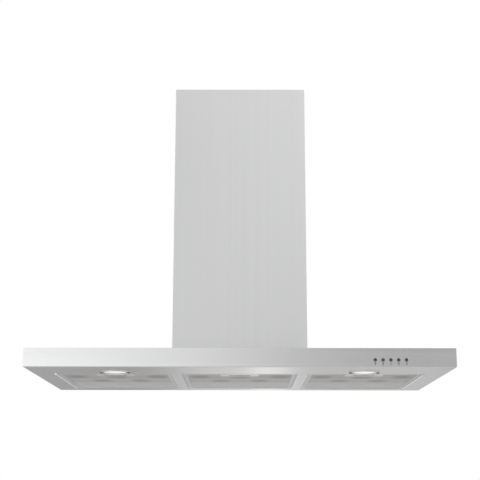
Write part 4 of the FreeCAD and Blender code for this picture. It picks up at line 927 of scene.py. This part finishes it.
def glow(name, strength):
    """A finish that only shines; returns it, its tree and the shader that shines."""
    made = bpy.data.materials.new(name)
    made.use_nodes = True
    tree = made.node_tree
    tree.nodes.remove(tree.nodes["Principled BSDF"])
    shining = node(tree, "ShaderNodeEmission", {"Strength": strength})
    tree.links.new(shining.outputs[0], tree.nodes["Material Output"].inputs["Surface"])
    return made, tree, shining


front_glow, tree, shining = glow("front panel", 1.8)
where = node(tree, "ShaderNodeTexCoord").outputs["Object"]
place = node(tree, "ShaderNodeSeparateXYZ", {0: where}).outputs
across = spread(tree, place["X"], 0.0, 1.0, -3.0, 3.0)
strip = tone(tree, across, (0.0, 1.0), (0.25, 0.86), (0.5, 0.51), (0.66, 0.19), (0.78, 0.25),
             (1.0, 0.33))
even = tone(tree, across, (0.28, 0.08), (0.72, 0.92))
raised = spread(tree, place["Z"], 0.0, 1.0, 1.2, 1.6)
mixed = node(tree, "ShaderNodeMix", {0: raised, 6: strip, 7: even}, data_type="RGBA").outputs[2]
tree.links.new(mixed, shining.inputs["Color"])
panel("front_panel", front_glow, half_width=5, y=-6, low=-1.4, high=5)

back_glow, tree, shining = glow("back panel", 1.08)
where = node(tree, "ShaderNodeTexCoord").outputs["Object"]
place = node(tree, "ShaderNodeSeparateXYZ", {0: where}).outputs
across = spread(tree, place["X"], 0.0, 1.0, -1.4, 1.4)
bands = tone(tree, across, (0.0, 0.42), (0.28, 0.36), (0.34, 0.41), (0.43, 0.65), (0.5, 0.69),
             (0.55, 0.97), (0.585, 0.82), (0.61, 0.62), (0.66, 0.56), (0.72, 0.57), (0.86, 0.58),
             (0.95, 0.44))
tree.links.new(bands, shining.inputs["Color"])
panel("back_panel", back_glow, half_width=4, y=3, low=-1.45, high=0.6)

floor_grey, tree, shader = new_finish("pale floor", Roughness=0.8)
scuffs = use(tree, handling, Patch=0.6)["Cloud"]
feed(tree, shader, Base_Color=tone(tree, scuffs, (0.3, 0.84), (0.7, 0.87)))
# A camera below the floor sees through it.
from_below = math_node(tree, "MULTIPLY", node(tree, "ShaderNodeNewGeometry").outputs["Backfacing"],
                       node(tree, "ShaderNodeLightPath").outputs["Is Camera Ray"])
either = node(tree, "ShaderNodeMixShader", {0: from_below, 1: shader.outputs[0],
                                            2: node(tree, "ShaderNodeBsdfTransparent").outputs[0]})
tree.links.new(either.outputs[0], tree.nodes["Material Output"].inputs["Surface"])
floor_half, floor_z = 12, -1.5
stand("floor", [(-floor_half, -floor_half, floor_z), (floor_half, -floor_half, floor_z),
                (floor_half, floor_half, floor_z), (-floor_half, floor_half, floor_z)], floor_grey)

world = bpy.data.worlds.new("white surround")
bpy.context.scene.world = world
world.use_nodes = True
tree = world.node_tree
kind_of_ray = node(tree, "ShaderNodeLightPath").outputs
seen = math_node(tree, "MAXIMUM", kind_of_ray["Is Camera Ray"],
                 math_node(tree, "MAXIMUM", kind_of_ray["Is Glossy Ray"],
                           kind_of_ray["Is Transmission Ray"]))
surround = tree.nodes["Background"]
surround.inputs["Color"].default_value = (1.0, 1.0, 1.0, 1.0)
tree.links.new(spread(tree, seen, 0.8, 1.0), surround.inputs["Strength"])

soft = bpy.data.lights.new("soft lamp", "AREA")
soft.shape = "DISK"
soft.size = 2.0
soft.energy = 25.0
lamp = bpy.data.objects.new("soft lamp", soft)
lamp.location = (-1.6, -2.2, 3.2)
lit = Vector((0.0, -0.2, 0.3))
lamp.rotation_euler = (lit - lamp.location).to_track_quat("-Z", "Y").to_euler()
bpy.context.scene.collection.objects.link(lamp)

# The camera stands below the hood's underside and looks up, turned and rolled a little.
lens = bpy.data.cameras.new("camera")
lens.sensor_width = 36.0
lens.lens = 82.34
camera = bpy.data.objects.new("camera", lens)
yaw, pitch, roll = (math.radians(angle) for angle in (-0.031, 90 + 13.229, 0.08))
turn = (Matrix.Rotation(yaw, 4, "Z") @ Matrix.Rotation(pitch, 4, "X")
        @ Matrix.Rotation(roll, 4, "Z"))
standpoint = (-0.0012, -2.773, -0.264)
camera.matrix_world = Matrix.Translation(standpoint) @ turn
bpy.context.scene.collection.objects.link(camera)
bpy.context.scene.camera = camera
bpy.context.scene.view_settings.view_transform = "Standard"
